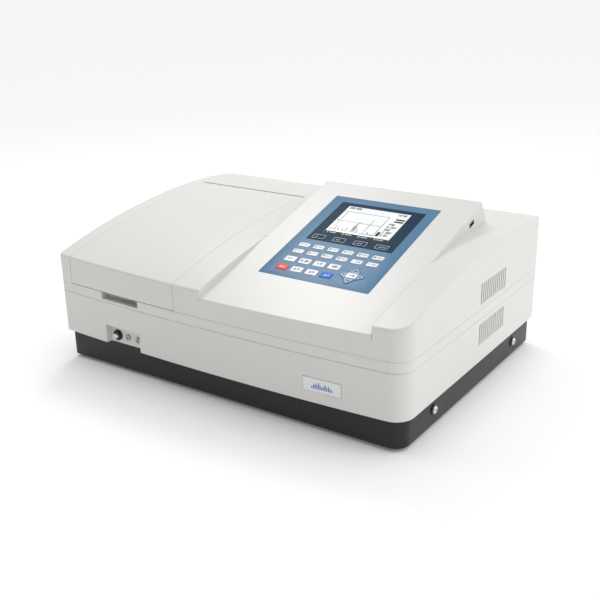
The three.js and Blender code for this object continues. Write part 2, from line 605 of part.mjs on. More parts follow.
function addOptics() {
  const mono = MONOCHROMATOR;
  const exit = beamWindow(mono.x0 - 5, mono.x0 + 10, CELL.first);
  const entry = beamWindow(mono.x1 - 10, mono.x1 + 5, SOURCE_Y);
  addPart('monochromator_case', geometryOf(cut(tub(mono), exit, entry)), CAST_ALUMINIUM);

  const { shaftR, height, halfWidth, back, face, z0, z1 } = GRATING;
  const shaft = new THREE.CylinderGeometry(shaftR, shaftR, height, 16).rotateX(Math.PI / 2);
  const ruled = boxBetween(-halfWidth, halfWidth, back, face, z0, z1);
  const grating = join(solid(shaft.translate(0, 0, height / 2)), solid(ruled));
  addPart('diffraction_grating', geometryOf(grating), [0xa9b4c8, 0.15, 1])
    .position.set(GRATING.x, GRATING.y, insideFloor + mono.floor + GAP);

  const lampBeam = beamWindow(LAMPS.x0 - 5, LAMPS.x0 + 10, SOURCE_Y);
  addPart('lamp_house', geometryOf(cut(tub(LAMPS), lampBeam)), SHEET_METAL);

  const d = DETECTOR;
  const [y0, y1] = [CELL.first - d.halfDepth, CELL.first + d.halfDepth];
  const detector = join(block(d.x0, d.x1, y0, y1, insideFloor, insideFloor + d.foot),
    block(d.x0, d.x0 + d.back, y0, y1, insideFloor, d.top),
    block(d.x0, d.x1, y0, y1, d.headBottom, d.top));
  const window = beamWindow(d.x1 - 9, d.x1 + 5, CELL.first, 5, 1);
  addPart('detector_module', geometryOf(cut(detector, window)), BLACK_ANODISED);
}

function addElectronics() {
  addPart('power_supply', geometryOf(tub(SUPPLY)), SHEET_METAL);

  const { x0, x1, y0, y1, rise, thick, post } = BOARD;
  const bottom = insideFloor + rise;
  let board = block(x0, x1, y0, y1, bottom, bottom + thick);
  for (const x of [x0 + post / 2, x1 - post * 1.5]) {
    for (const y of [y0 + post / 2, y1 - post * 1.5]) {
      board = board.add(block(x, x + post, y, y + post, insideFloor, bottom + 1));
    }
  }
  for (const part of BOARD_MODULES) {
    board = board.add(block(part.x0, part.x1, part.y0, part.y1, bottom + 1, bottom + 1 + part.height));
  }
  addPart('main_board', geometryOf(board), BOARD_GREEN);
}

// ---------------------------------------------------------------- rear panel

function addRearPanel() {
  const { x0, x1, z0, z1, y0, y1 } = PANEL;
  const slots = [];
  for (let i = -GRILLE.rows; i <= GRILLE.rows; i++) {
    const z = FAN.z + i * GRILLE.pitch;
    const half = Math.sqrt(FAN.boreR ** 2 - (z - FAN.z) ** 2) - GRILLE.margin;
    slots.push(block(FAN.x - half, FAN.x + half, y0 - 1, y1 + 1, z - GRILLE.half, z + GRILLE.half));
  }
  const flange = INLET_FLANGE;
  const opening = block(INLET.x - flange.left + 2, ROCKER.x + flange.right - 2, y0 - 1, y1 + 1,
    INLET.z - flange.halfHeight + 2, INLET.z + flange.halfHeight - 2);
  addPart('rear_panel', geometryOf(cut(block(x0, x1, y0, y1, z0, z1), opening, ...slots)), SHEET_METAL);
  addFan();
  addPowerInlet(y0 - flange.bodyDepth, y1 + GAP);
}

function addFan() {
  const { x, z, size, boreR, hubR, y0, y1, blades, pitch } = FAN;
  const half = size / 2;
  const armHalf = 2;
  const frame = join(
    cut(block(x - half, x + half, y0, y1, z - half, z + half), boreY(x, z, boreR, y0 - 1, y1 + 1, 32)),
    boreY(x, z, hubR, y0, y0 + 3),
    block(x - half, x + half, y0, y0 + 2, z - armHalf, z + armHalf),
    block(x - armHalf, x + armHalf, y0, y0 + 2, z - half, z + half));
  addPart('fan_frame', geometryOf(frame), BLACK_PLASTIC);

  let impeller = boreY(0, 0, hubR, y0 + 3.5, y1 - 1);
  for (let i = 0; i < blades; i++) {
    const blade = boxBetween(hubR - 2, boreR - 1, -0.8, 0.8, -5, 5).rotateX(pitch);
    blade.translate(0, (y0 + y1) / 2 + 1, 0).rotateY(i * 2 * Math.PI / blades);
    impeller = impeller.add(solid(blade));
  }
  addPart('fan_impeller', geometryOf(impeller), BLACK_PLASTIC).position.set(x, 0, z);
}

// Inlet and switch share one black moulding, clipped into the panel; its flange starts at `flangeY`.
function addPowerInlet(bodyFront, flangeY) {
  const { thick, halfHeight, left, right, lip } = INLET_FLANGE;
  const face = flangeY + thick;
  const flange = block(INLET.x - left, ROCKER.x + right, flangeY, face,
    INLET.z - halfHeight, INLET.z + halfHeight);
  const body = block(INLET.x - left + lip, ROCKER.x + right - lip, bodyFront, flangeY + 1,
    INLET.z - halfHeight + lip, INLET.z + halfHeight - lip);
  const hollow = ({ x, z, w, h, depth }) =>
    block(x - w / 2, x + w / 2, face - depth, face + 3, z - h / 2, z + h / 2);
  addPart('power_inlet', geometryOf(cut(join(flange, body), hollow(INLET), hollow(ROCKER))), BLACK_PLASTIC);

  // the rocker is proud at its lower half: off
  const reach = ROCKER.h / 2 - 0.8;
  const raised = [[reach - 0.4, 1.2], [0, 0.6], [0.4 - reach, 3.4]];
  const rocker = polygon([[-reach, 0], [0, -6], [reach, 0], ...raised]);
  const depth = ROCKER.w - 1;
  const shape = new THREE.ExtrudeGeometry(rocker, { depth, bevelEnabled: false });
  const turn = new THREE.Matrix4().makeBasis(
    new THREE.Vector3(0, 0, 1), new THREE.Vector3(0, 1, 0), new THREE.Vector3(-1, 0, 0));
  shape.applyMatrix4(turn).translate(depth / 2, 0, 0);
  addPart('power_rocker', shape, BLACK_PLASTIC).position.set(ROCKER.x, flangeY, ROCKER.z);
}

addBase();
addLowerHousing();
addPortPlugs();
addUpperHousing();
addLid();
addConsole();
addSampleCompartment();
addOptics();
addElectronics();
addRearPanel();

export default object;
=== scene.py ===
import math

import bmesh
import bpy
import numpy as np
from mathutils import Matrix, Vector
from mathutils.geometry import delaunay_2d_cdt


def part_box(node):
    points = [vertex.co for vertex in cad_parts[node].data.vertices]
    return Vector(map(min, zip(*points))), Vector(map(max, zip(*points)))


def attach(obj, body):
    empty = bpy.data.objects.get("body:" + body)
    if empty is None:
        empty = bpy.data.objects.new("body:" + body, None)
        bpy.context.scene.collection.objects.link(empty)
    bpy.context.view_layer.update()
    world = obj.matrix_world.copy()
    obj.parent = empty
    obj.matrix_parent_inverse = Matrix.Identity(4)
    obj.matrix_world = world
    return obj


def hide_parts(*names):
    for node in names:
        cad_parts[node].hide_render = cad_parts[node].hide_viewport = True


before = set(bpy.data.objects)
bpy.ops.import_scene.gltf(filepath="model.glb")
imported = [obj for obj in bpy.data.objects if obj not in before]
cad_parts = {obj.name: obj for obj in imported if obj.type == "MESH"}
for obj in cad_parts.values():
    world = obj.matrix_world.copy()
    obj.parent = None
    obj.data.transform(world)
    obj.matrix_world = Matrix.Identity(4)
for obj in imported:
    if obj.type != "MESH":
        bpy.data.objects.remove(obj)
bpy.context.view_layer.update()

# ---------------------------------------------------------------- driving dimensions, in millimetres

MM = 0.001
WIDTH = 625.0
DEPTH = 462.85
HALF = WIDTH / 2
FRONT = -DEPTH / 2
REAR = DEPTH / 2
BOW = 10.35
EDGE_R = 3.0
CORNER_R = 8.0
FRONT_RIGHT_R = 28.0
WALL = 3.5
CROWN = (175.0, 149.0, -150.0, 107.0, -62.0)

HOUSING_BOTTOM = 49.0
SPLIT = 117.8
SEAM = 133.4
DECK_TOP = 121.0

LID_LEFT, LID_RIGHT = -286.0, -64.5
LID_GAP = 0.5
LID_REAR = 113.5
WELL_REAR = 117.0
HINGE_Y = 109.0
HINGE_DROP = 6.0  # the hinge line lies this far under the roof
HINGE_BORE = 2.8

TILT = math.radians(16.5)
CONSOLE_LEFT, CONSOLE_RIGHT = -14.0, 263.8
CONSOLE_FRONT_Z = 164.4
CONSOLE_BACK_Y = 108.2
CONSOLE_REAR_SLOPE = 1.9
OVERLAY = (31.5, 215.5, 85.0, 312.0)


def crown(y):
    """Height of the roof at depth y."""
    t = (np.clip(y, FRONT, REAR) - FRONT) / DEPTH
    return sum(c * t ** i for i, c in enumerate(CROWN))


def hinge_z():
    return crown(HINGE_Y) - HINGE_DROP


def front_at(x):
    """Depth of the bowed front at x."""
    return FRONT + BOW * (2 * x / WIDTH) ** 2


def console_z(y):
    """Height of the sloping console face at depth y."""
    return CONSOLE_FRONT_Z + math.tan(TILT) * (y - FRONT)


# ---------------------------------------------------------------- mesh helpers


def mesh_object(name, verts, faces, sharp=32):
    """A mesh from points in millimetres, faces turned outwards, shaded smooth below the angle `sharp`."""
    mesh = bpy.data.meshes.new(name)
    mesh.from_pydata([Vector(v) * MM for v in verts], [], faces)
    bm = bmesh.new()
    bm.from_mesh(mesh)
    bmesh.ops.remove_doubles(bm, verts=bm.verts, dist=1e-7)
    bmesh.ops.recalc_face_normals(bm, faces=bm.faces)
    bm.to_mesh(mesh)
    bm.free()
    obj = bpy.data.objects.new(name, mesh)
    bpy.context.scene.collection.objects.link(obj)
    shade(obj, sharp)
    return obj


def shade(obj, sharp):
    obj.data.polygons.foreach_set("use_smooth", [True] * len(obj.data.polygons))
    obj.data.set_sharp_from_angle(angle=math.radians(sharp))


def apply_modifiers(obj):
    graph = bpy.context.evaluated_depsgraph_get()
    mesh = bpy.data.meshes.new_from_object(obj.evaluated_get(graph))
    old = obj.data
    obj.modifiers.clear()
    obj.data = mesh
    bpy.data.meshes.remove(old)


def boolean(obj, others, operation="DIFFERENCE", sharp=32):
    """Cuts, joins or crops `obj` with each of `others`, which are used up."""
    for other in others:
        modifier = obj.modifiers.new("boolean", "BOOLEAN")
        modifier.operation = operation
        modifier.solver = "EXACT"
        modifier.object = other
        apply_modifiers(obj)
        bpy.data.objects.remove(other)
    shade(obj, sharp)
    return obj


def even_normals(obj):
    """Lets large faces rule the shading, so that a rounded edge doesn't tint the panel beside it."""
    modifier = obj.modifiers.new("even", "WEIGHTED_NORMAL")
    modifier.keep_sharp = True
    modifier.weight = 100


def loft(name, rings, sharp=32, caps=True, closed=False):
    """A skin over rings of equal length; `closed` joins the last ring to the first."""
    count = len(rings[0])
    verts = [p for ring in rings for p in ring]
    faces = []
    pairs = len(rings) if closed else len(rings) - 1
    for k in range(pairs):
        a, b = k * count, (k + 1) % len(rings) * count
        for i in range(count):
            j = (i + 1) % count
            faces.append((a + i, a + j, b + j, b + i))
    if caps and not closed:
        faces.append(tuple(range(count)))
        faces.append(tuple(range(len(verts) - count, len(verts))))
    return mesh_object(name, verts, faces, sharp)


def rounded_rectangle(w, h, r, steps=6, x=0.0, y=0.0):
    """Points of a rectangle about (x, y) with round corners."""
    points = []
    for quarter, (sx, sy) in enumerate([(1, 1), (-1, 1), (-1, -1), (1, -1)]):
        for i in range(steps + 1):
            a = (quarter + i / steps) * math.pi / 2
            points.append((x + sx * (w / 2 - r) + r * math.cos(a), y + sy * (h / 2 - r) + r * math.sin(a)))
    return points


def box(name, x0, x1, y0, y1, z0, z1):
    corners = [(x, y, z) for z in (z0, z1) for x, y in ((x0, y0), (x1, y0), (x1, y1), (x0, y1))]
    faces = [(3, 2, 1, 0), (4, 5, 6, 7), (0, 1, 5, 4), (1, 2, 6, 5), (2, 3, 7, 6), (3, 0, 4, 7)]
    return mesh_object(name, corners, faces)


def prism_x(name, outline, x0, x1):
    """An outline of (y, z) points drawn out along x."""
    return loft(name, [[(x, y, z) for y, z in outline] for x in (x0, x1)])


def circle(a, b, r, count):
    """Points of a circle about (a, b)."""
    turns = [2 * math.pi * i / count for i in range(count)]
    return [(a + r * math.cos(t), b + r * math.sin(t)) for t in turns]


# ---------------------------------------------------------------- case surfaces


def corner_arc(centre, radius, start, stop, steps):
    angles = [start + (stop - start) * i / steps for i in range(steps + 1)]
    return [(centre[0] + radius * math.cos(a), centre[1] + radius * math.sin(a)) for a in angles]


def front_corner(half, front, bow, width, r):
    """Centre of a front corner's rounding, and the angle at which it meets the bowed front."""
    xc = half - r
    lean = 0.0
    for _ in range(4):
        lean = math.atan(8 * bow * (xc + r * math.sin(lean)) / width ** 2)
    x = xc + r * math.sin(lean)
    return (xc, front + bow * (2 * x / width) ** 2 + r * math.cos(lean)), lean


def plan(inset, half=HALF, front=FRONT, rear=REAR, bow=BOW, left=CORNER_R, right=FRONT_RIGHT_R):
    """The outline of a case seen from above, drawn in by `inset`: bowed front, four round corners."""
    width, steps = 2 * half, 10
    (cx_r, cy_r), lean_r = front_corner(half, front, bow, width, right)
    (cx_l, cy_l), lean_l = front_corner(half, front, bow, width, left)
    quarter = math.pi / 2
    points = []
    x_start = -(cx_l + left * math.sin(lean_l))
    x_stop = cx_r + right * math.sin(lean_r)
    bow_steps = 36
    for i in range(1, bow_steps):
        x = x_start + (x_stop - x_start) * i / bow_steps
        points.append((x, front + bow * (2 * x / width) ** 2 + inset))
    side = np.linspace(0, 1, 42)[1:-1]
    r = max(right - inset, 0.2)
    points += corner_arc((cx_r, cy_r), r, -quarter + lean_r, 0, steps + 6)
    points += [(half - inset, cy_r + (rear - left - cy_r) * t) for t in side]
    r = max(left - inset, 0.2)
    points += corner_arc((half - left, rear - left), r, 0, quarter, steps)
    points += corner_arc((-half + left, rear - left), r, quarter, 2 * quarter, steps)
    points += [(-half + inset, rear - left + (cy_l - rear + left) * t) for t in side]
    points += corner_arc((-cx_l, cy_l), r, 2 * quarter, 3 * quarter - lean_l, steps)
    return points


def level_ring(inset, z, **shape):
    return [(x, y, z) for x, y in plan(inset, **shape)]


def roof_ring(inset, drop):
    return [(x, y, crown(y) - drop) for x, y in plan(inset)]


def roof_cap(inset, drop, start):
    """Points and triangles that close a roof ring, following the crown, numbered from `start`."""
    ring = plan(inset)
    points = [Vector(p) for p in ring]
    count = len(points)
    edges = [(i, (i + 1) % count) for i in range(count)]
    lows, highs = np.min(ring, axis=0), np.max(ring, axis=0)
    for y in np.arange(lows[1] + 8, highs[1] - 3, 7.0):
        for x in np.linspace(lows[0] + 14, highs[0] - 14, 14):
            if y > front_at(x) + inset + 5:
                points.append(Vector((x, y)))
    flat, _, triangles, *_ = delaunay_2d_cdt(points, edges, [], 1, 1e-5)
    verts = [(p.x, p.y, crown(p.y) - drop) for p in flat[count:]]
    faces = [tuple(start + i for i in t) for t in triangles]
    return verts, faces


def domed_body(name, base_rings, inset, radius):
    """A closed solid under the roof: `base_rings` up its walls, then the rounded top edge and the crown."""
    rings = list(base_rings)
    steps = 8 if radius > 1 else 2
    for i in range(steps + 1):
        a = math.pi / 2 * i / steps
        rings.append(roof_ring(inset + radius * (1 - math.cos(a)), inset + radius * (1 - math.sin(a))))
    count = len(rings[0])
    verts = [p for ring in rings for p in ring]
    faces = [tuple(reversed(range(count)))]
    for k in range(len(rings) - 1):
        a, b = k * count, (k + 1) * count
        faces += [(a + i, a + (i + 1) % count, b + (i + 1) % count, b + i) for i in range(count)]
    more, cap = roof_cap(inset + radius, inset, len(verts) - count)
    return mesh_object(name, verts + more, faces + cap)


# ---------------------------------------------------------------- materials


def finish(name, colour, roughness, metallic=0.0, grain=0.04, scale=300.0, bump=0.1, depth=0.00005,
           stretch=(1, 1, 1), shine=0.5, spots=0.0):
    """A surface with fine variation in colour and gloss over a moulded, sprayed or brushed texture.
    `grain` is the spread of colour, `scale` its fineness, `bump` and `depth` the relief, `stretch` the
    direction of brushing, `shine` the strength of its reflections, and `spots` slow clouding over a panel."""
    material = bpy.data.materials.new(name)
    material.use_nodes = True
    nodes, links = material.node_tree.nodes, material.node_tree.links
    shader = nodes["Principled BSDF"]
    shader.inputs["Metallic"].default_value = metallic
    shader.inputs["Specular IOR Level"].default_value = shine
    place = nodes.new("ShaderNodeTexCoord")
    mapping = nodes.new("ShaderNodeMapping")
    mapping.inputs["Scale"].default_value = stretch
    links.new(place.outputs["Object"], mapping.inputs["Vector"])

    def noise(size, detail):
        texture = nodes.new("ShaderNodeTexNoise")
        texture.inputs["Scale"].default_value = size
        texture.inputs["Detail"].default_value = detail
        links.new(mapping.outputs["Vector"], texture.inputs["Vector"])
        return texture.outputs["Fac"]

    def spread(source, low, high):
        ramp = nodes.new("ShaderNodeMapRange")
        ramp.inputs["From Min"].default_value = 0.3
        ramp.inputs["From Max"].default_value = 0.7
        ramp.inputs["To Min"].default_value = low
        ramp.inputs["To Max"].default_value = high
        links.new(source, ramp.inputs["Value"])
        return ramp.outputs["Result"]

    def scaled(colour_socket, factor):
        mix = nodes.new("ShaderNodeMix")
        mix.data_type = "RGBA"
        mix.blend_type = "MULTIPLY"
        mix.inputs["Factor"].default_value = 1.0
        if isinstance(colour_socket, tuple):
            mix.inputs["A"].default_value = colour_socket
        else:
            links.new(colour_socket, mix.inputs["A"])
        links.new(factor, mix.inputs["B"])
        return mix.outputs["Result"]

    fine = noise(scale, 4)
    tone = scaled((*colour, 1), spread(fine, 1 - grain, 1 + grain))
    tone = scaled(tone, spread(noise(9, 2), 1 - spots, 1 + spots))
    links.new(tone, shader.inputs["Base Color"])
    links.new(spread(noise(scale * 0.4, 3), roughness * 0.88, roughness * 1.12), shader.inputs["Roughness"])
    relief = nodes.new("ShaderNodeBump")
    relief.inputs["Strength"].default_value = bump
    relief.inputs["Distance"].default_value = depth
    links.new(fine, relief.inputs["Height"])
    links.new(relief.outputs["Normal"], shader.inputs["Normal"])
    return material


def lit(material, strength, colour):
    """Adds a steady glow, for a display's backlight or translucent paper lit from behind."""
    shader = material.node_tree.nodes["Principled BSDF"]
    shader.inputs["Emission Color"].default_value = (*colour, 1)
    shader.inputs["Emission Strength"].default_value = strength
    return material


FINISHES = {
    "shell_white": finish("shell_white", (0.73, 0.723, 0.70), 0.34, grain=0.012, scale=1500, bump=0.35,
                          depth=0.00006, spots=0.006),
    "charcoal_paint": finish("charcoal_paint", (0.018, 0.019, 0.021), 0.34, grain=0.10, scale=1800,
                             bump=0.4, shine=0.3, spots=0.05),
    "rubber": finish("rubber", (0.025, 0.025, 0.025), 0.8, grain=0.15, scale=700, bump=0.3),
    "steel": finish("steel", (0.72, 0.72, 0.71), 0.16, 1.0, grain=0.05, scale=900, bump=0.05),
    "sheet_metal": finish("sheet_metal", (0.55, 0.56, 0.57), 0.35, 1.0, grain=0.08, scale=120, bump=0.08,
                          stretch=(0.1, 1, 6), spots=0.06),
    "cast_aluminium": finish("cast_aluminium", (0.42, 0.43, 0.44), 0.5, 0.8, grain=0.12, scale=500,
                             bump=0.6, depth=0.0001),
    "black_anodised": finish("black_anodised", (0.03, 0.03, 0.033), 0.4, 0.5, grain=0.12, scale=900,
                             bump=0.15, spots=0.05),
    "black_plastic": finish("black_plastic", (0.010, 0.010, 0.011), 0.3, grain=0.12, scale=1100, bump=0.2,
                            shine=0.3),
    "grey_metal": finish("grey_metal", (0.40, 0.39, 0.375), 0.3, 0.7, grain=0.08, scale=700, bump=0.1),
    "plate_silver": finish("plate_silver", (0.80, 0.81, 0.81), 0.3, 0.1, grain=0.02, scale=900, bump=0.08,
                           spots=0.02),
    "overlay_blue": finish("overlay_blue", (0.075, 0.195, 0.335), 0.3, grain=0.02, scale=2200, bump=0.12,
                           depth=0.00003, shine=0.16, spots=0.05),
    "key_white": finish("key_white", (0.80, 0.82, 0.83), 0.3, grain=0.015, scale=1500, bump=0.08,
                        spots=0.02),
    "key_red": finish("key_red", (0.88, 0.055, 0.015), 0.35, grain=0.03, scale=1500, bump=0.08, shine=0.15),
    "key_blue": finish("key_blue", (0.0, 0.15, 0.68), 0.35, grain=0.03, scale=1500, bump=0.08, shine=0.15),
    "key_dark": finish("key_dark", (0.007, 0.034, 0.070), 0.35, grain=0.04, scale=1500, bump=0.08,
                       shine=0.05),
    "key_pad": finish("key_pad", (0.095, 0.215, 0.36), 0.3, grain=0.03, scale=1500, bump=0.08, shine=0.2),
    "screen": lit(finish("screen", (0.72, 0.75, 0.74), 0.2, grain=0.02, scale=2600, bump=0.02), 0.2,
                  (0.95, 1.0, 1.0)),
    "board_green": finish("board_green", (0.012, 0.13, 0.05), 0.35, grain=0.2, scale=260, bump=0.2),
    "grating_glass": finish("grating_glass", (0.65, 0.7, 0.82), 0.12, 1.0, grain=0.06, scale=500, bump=0.3,
                            stretch=(12, 1, 0.2)),
}
INK = finish("ink_dark", (0.008, 0.009, 0.012), 0.5, grain=0.1, scale=2500, bump=0.05, shine=0.2)
# pale print on keys and display; on the navigation pad's arrows this pale colour is a painted highlight along
# embossed ridges
PALE_INK_AND_HIGHLIGHT = finish("pale_ink_and_painted_highlight", (0.62, 0.70, 0.78), 0.4, grain=0.05, scale=2500, bump=0.05)
INK_BLUE = finish("ink_blue", (0.02, 0.12, 0.5), 0.4, grain=0.05, scale=2500, bump=0.05)


def place(obj, slot, body="case", nodes=(), material=None):
    """Gives a finished piece its material, from `slot` unless one is given, puts it under its body, and hides
    the CAD nodes that it stands for.
    """
    obj.data.materials.clear()
    obj.data.materials.append(material or FINISHES[slot])
    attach(obj, body)
    if nodes:
        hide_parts(*nodes)
    return obj


# ---------------------------------------------------------------- lower housing

RECESS = {"x0": -214.0, "x1": -140.0, "top": 80.0, "back": -216.5, "wall": 3.0}
ROD = {"x": -198.0, "z": 62.0}
PLUG_X = (-176.5, -155.0)
WINDOW = {"x0": -140.0, "x1": 140.0, "z0": 56.0, "z1": 112.0}
VENT = {"y": 51.2, "count": 13, "pitch": 7.2, "width": 3.6}
VENT_LOW, VENT_HIGH = (77.0, 110.0), (141.0, 173.0)
NAMEPLATE = {"x": 190.0, "z": 75.75, "w": 60.0, "h": 20.5, "sunk": 1.0}
NOTCH = {"x0": -217.0, "x1": -139.0, "z0": 122.0, "depth": 14.0}
USB = {"v": 312.0, "w": 16.5, "h": 8.0, "n": -15.0, "deep": 16.0}


def slab_y(name, x, z, w, h, r, y0, y1):
    """A round-cornered slab standing across y."""
    outline = rounded_rectangle(w, h, r, 4, x, z)
    return loft(name, [[(px, y, pz) for px, pz in outline] for y in (y0, y1)])


def cylinder_y(name, x, z, r, y0, y1, count=32):
    return loft(name, [[(px, y, pz) for px, pz in circle(x, z, r, count)] for y in (y0, y1)])


def joined(name, objects):
    """Several separate solids as one mesh."""
    bm = bmesh.new()
    for obj in objects:
        bm.from_mesh(obj.data)
        bpy.data.objects.remove(obj)
    mesh = bpy.data.meshes.new(name)
    bm.to_mesh(mesh)
    bm.free()
    whole = bpy.data.objects.new(name, mesh)
    bpy.context.scene.collection.objects.link(whole)
    return whole


def vent_cutters(z0, z1):
    """The row of upright slots in the right side, their outer edges eased."""
    slots = []
    half = VENT["width"] / 2
    for i in range(VENT["count"]):
        y = VENT["y"] + (i - (VENT["count"] - 1) / 2) * VENT["pitch"]
        rings = []
        for x, grow in ((HALF - 10, 0), (HALF - 0.5, 0), (HALF, 0.5), (HALF + 4, 0.5)):
            wide, tall = 2 * (half + grow), z1 - z0 + 2 * grow
            outline = rounded_rectangle(wide, tall, 0.9 + grow, 3, y, (z0 + z1) / 2)
            rings.append([(x, py, pz) for py, pz in outline])
        slots.append(loft(f"slot_{i}", rings))
    return joined("vent_slots", slots)


def nameplate_turn():
    """Puts a thing made flat about the origin, facing -Y, into the nameplate's place on the bowed front."""
    x = NAMEPLATE["x"]
    turn = math.atan(8 * BOW * x / WIDTH ** 2)
    return Matrix.Translation(Vector((x, front_at(x), NAMEPLATE["z"])) * MM) @ Matrix.Rotation(turn, 4, "Z")


def lower_housing():
    edge, seam = 0.5, SPLIT - 0.3
    turns = (0, 0.4, 0.8, 1.2, math.pi / 2)
    soft = [(edge * (1 - math.sin(a)), edge * (1 - math.cos(a))) for a in turns]
    rings = [level_ring(16, HOUSING_BOTTOM)]
    rings += [level_ring(inset, HOUSING_BOTTOM + rise) for inset, rise in soft]
    rings += [level_ring(inset, seam - rise) for inset, rise in reversed(soft)]
    floor = HOUSING_BOTTOM + 2.5
    rings += [level_ring(WALL, seam), level_ring(WALL, floor), level_ring(16, floor)]
    shell = loft("lower_shell", rings, closed=True)

    r = RECESS
    liner = box("liner", r["x0"] - r["wall"], r["x1"] + r["wall"], FRONT + 6, r["back"] + r["wall"],
                HOUSING_BOTTOM + 0.01, r["top"] + r["wall"])
    boolean(shell, [liner], "UNION")
    middle, wide = (r["x0"] + r["x1"]) / 2, r["x1"] - r["x0"]
    mouth = slab_y("mouth", middle, r["top"] - 30, wide, 60, 1.6, FRONT - 6, r["back"])
    bores = [cylinder_y("rod_bore", ROD["x"], ROD["z"], 4.8, r["back"] - 2, r["back"] + 8)]
    bores += [cylinder_y("plug_bore", x, ROD["z"], 3.3, r["back"] - 2, r["back"] + 8) for x in PLUG_X]
    w = WINDOW
    window = slab_y("window", (w["x0"] + w["x1"]) / 2, (w["z0"] + w["z1"]) / 2, w["x1"] - w["x0"],
                    w["z1"] - w["z0"], 2.0, REAR - 12, REAR + 6)
    n = NAMEPLATE
    bed = slab_y("bed", 0, 0, n["w"] + 0.8, n["h"] + 0.8, 1.4, -4, n["sunk"])
    bed.data.transform(nameplate_turn())
    boolean(shell, [mouth, *bores, window, bed, vent_cutters(*VENT_LOW)])
    return shell


# ---------------------------------------------------------------- upper housing


def console_face(x, v, n):
    """A point by its place across, up the slope and out of the console's face."""
    return (x, FRONT + v * math.cos(TILT) - n * math.sin(TILT),
            CONSOLE_FRONT_Z + v * math.sin(TILT) + n * math.cos(TILT))


def console_slab(name, x0, x1, v0, v1, n0, n1, r=1.0, steps=4):
    outline = rounded_rectangle(x1 - x0, v1 - v0, r, steps, (x0 + x1) / 2, (v0 + v1) / 2)
    return loft(name, [[console_face(x, v, n) for x, v in outline] for n in (n0, n1)])


def wedge_outline(inset, y_start, z_low, ridge=4.0):
    """Side view of the console where it stands above the roof, drawn in by `inset`."""
    rear = math.atan(CONSOLE_REAR_SLOPE)  # how steeply the back falls
    corner = Vector((CONSOLE_BACK_Y, console_z(CONSOLE_BACK_Y)))
    along = Vector((-math.cos(TILT), -math.sin(TILT)))
    down = Vector((math.cos(rear), -math.sin(rear)))
    half = along.angle(down) / 2
    centre = corner + (along + down).normalized() * (ridge / math.sin(half))
    top = Vector((-math.sin(TILT), math.cos(TILT)))
    back = Vector((math.sin(rear), math.cos(rear)))
    a0, a1 = math.atan2(top.y, top.x), math.atan2(back.y, back.x)
    r = max(ridge - inset, 0.3)
    arc = [(centre.x + r * math.cos(a), centre.y + r * math.sin(a)) for a in np.linspace(a0, a1, 7)]
    start = (y_start, console_z(y_start) - inset / math.cos(TILT))
    tail = centre + back * (ridge - inset)
    tail = tail + down * ((tail.y - z_low) / math.sin(rear))
    return [(y_start, z_low), start, *arc, (tail.x, tail.y)]


def wedge(name, x0, x1, inset, y_start, z_low, edge):
    steps = 5
    turns = [math.pi / 2 * i / steps for i in range(steps + 1)]
    ends = [(edge * (1 - math.sin(a)), edge * (1 - math.cos(a))) for a in turns] if edge else [(0, 0)]
    stations = [(x0 + out, inset + drop) for drop, out in ends]
    stations += [(x1 - out, inset + drop) for drop, out in reversed(ends)]
    return loft(name, [[(x, y, z) for y, z in wedge_outline(d, y_start, z_low)] for x, d in stations])


def edge_path(x, z_low, y_end, steps=30):
    """Points and outward normals (in y, z) up the front at x, over the top edge and back along the roof."""
    points, normals = [], []
    y0 = front_at(x)
    for z in np.linspace(z_low, crown(y0 + EDGE_R) - EDGE_R, 5):
        points.append((y0, z))
        normals.append((-1.0, 0.0))
    for a in np.linspace(0, math.pi / 2, 9)[1:]:
        y = y0 + EDGE_R * (1 - math.cos(a))
        points.append((y, crown(y) - EDGE_R * (1 - math.sin(a))))
        normals.append((-math.cos(a), math.sin(a)))
    for y in np.linspace(y0 + EDGE_R, y_end, steps)[1:]:
        slope = (crown(y + 1) - crown(y - 1)) / 2
        length = math.hypot(1, slope)
        points.append((y, crown(y)))
        normals.append((-slope / length, 1 / length))
    return points, normals


def edge_strip(name, x, side, r, z_low, y_end, taper=0.0):
    """A thin cutter that rounds the roof's edge along an opening whose wall is at x; `side` points into
    the roof. Over the last `taper` the rounding dies away."""
    over = 0.6
    section = [(-over, -r - over), (0, -r), (0.1 * r, -0.55 * r), (0.29 * r, -0.29 * r),
               (0.55 * r, -0.1 * r), (r, 0.0), (r + over, over), (-over, over)]
    points, normals = edge_path(x, z_low, y_end)
    rings = []
    for (y, z), (ny, nz) in zip(points, normals):
        k = min(1.0, 0.04 + (y_end - y) / taper) if taper else 1.0
        rings.append([(x + side * k * a, y + k * n * ny, z + k * n * nz) for a, n in section])
    return loft(name, rings)


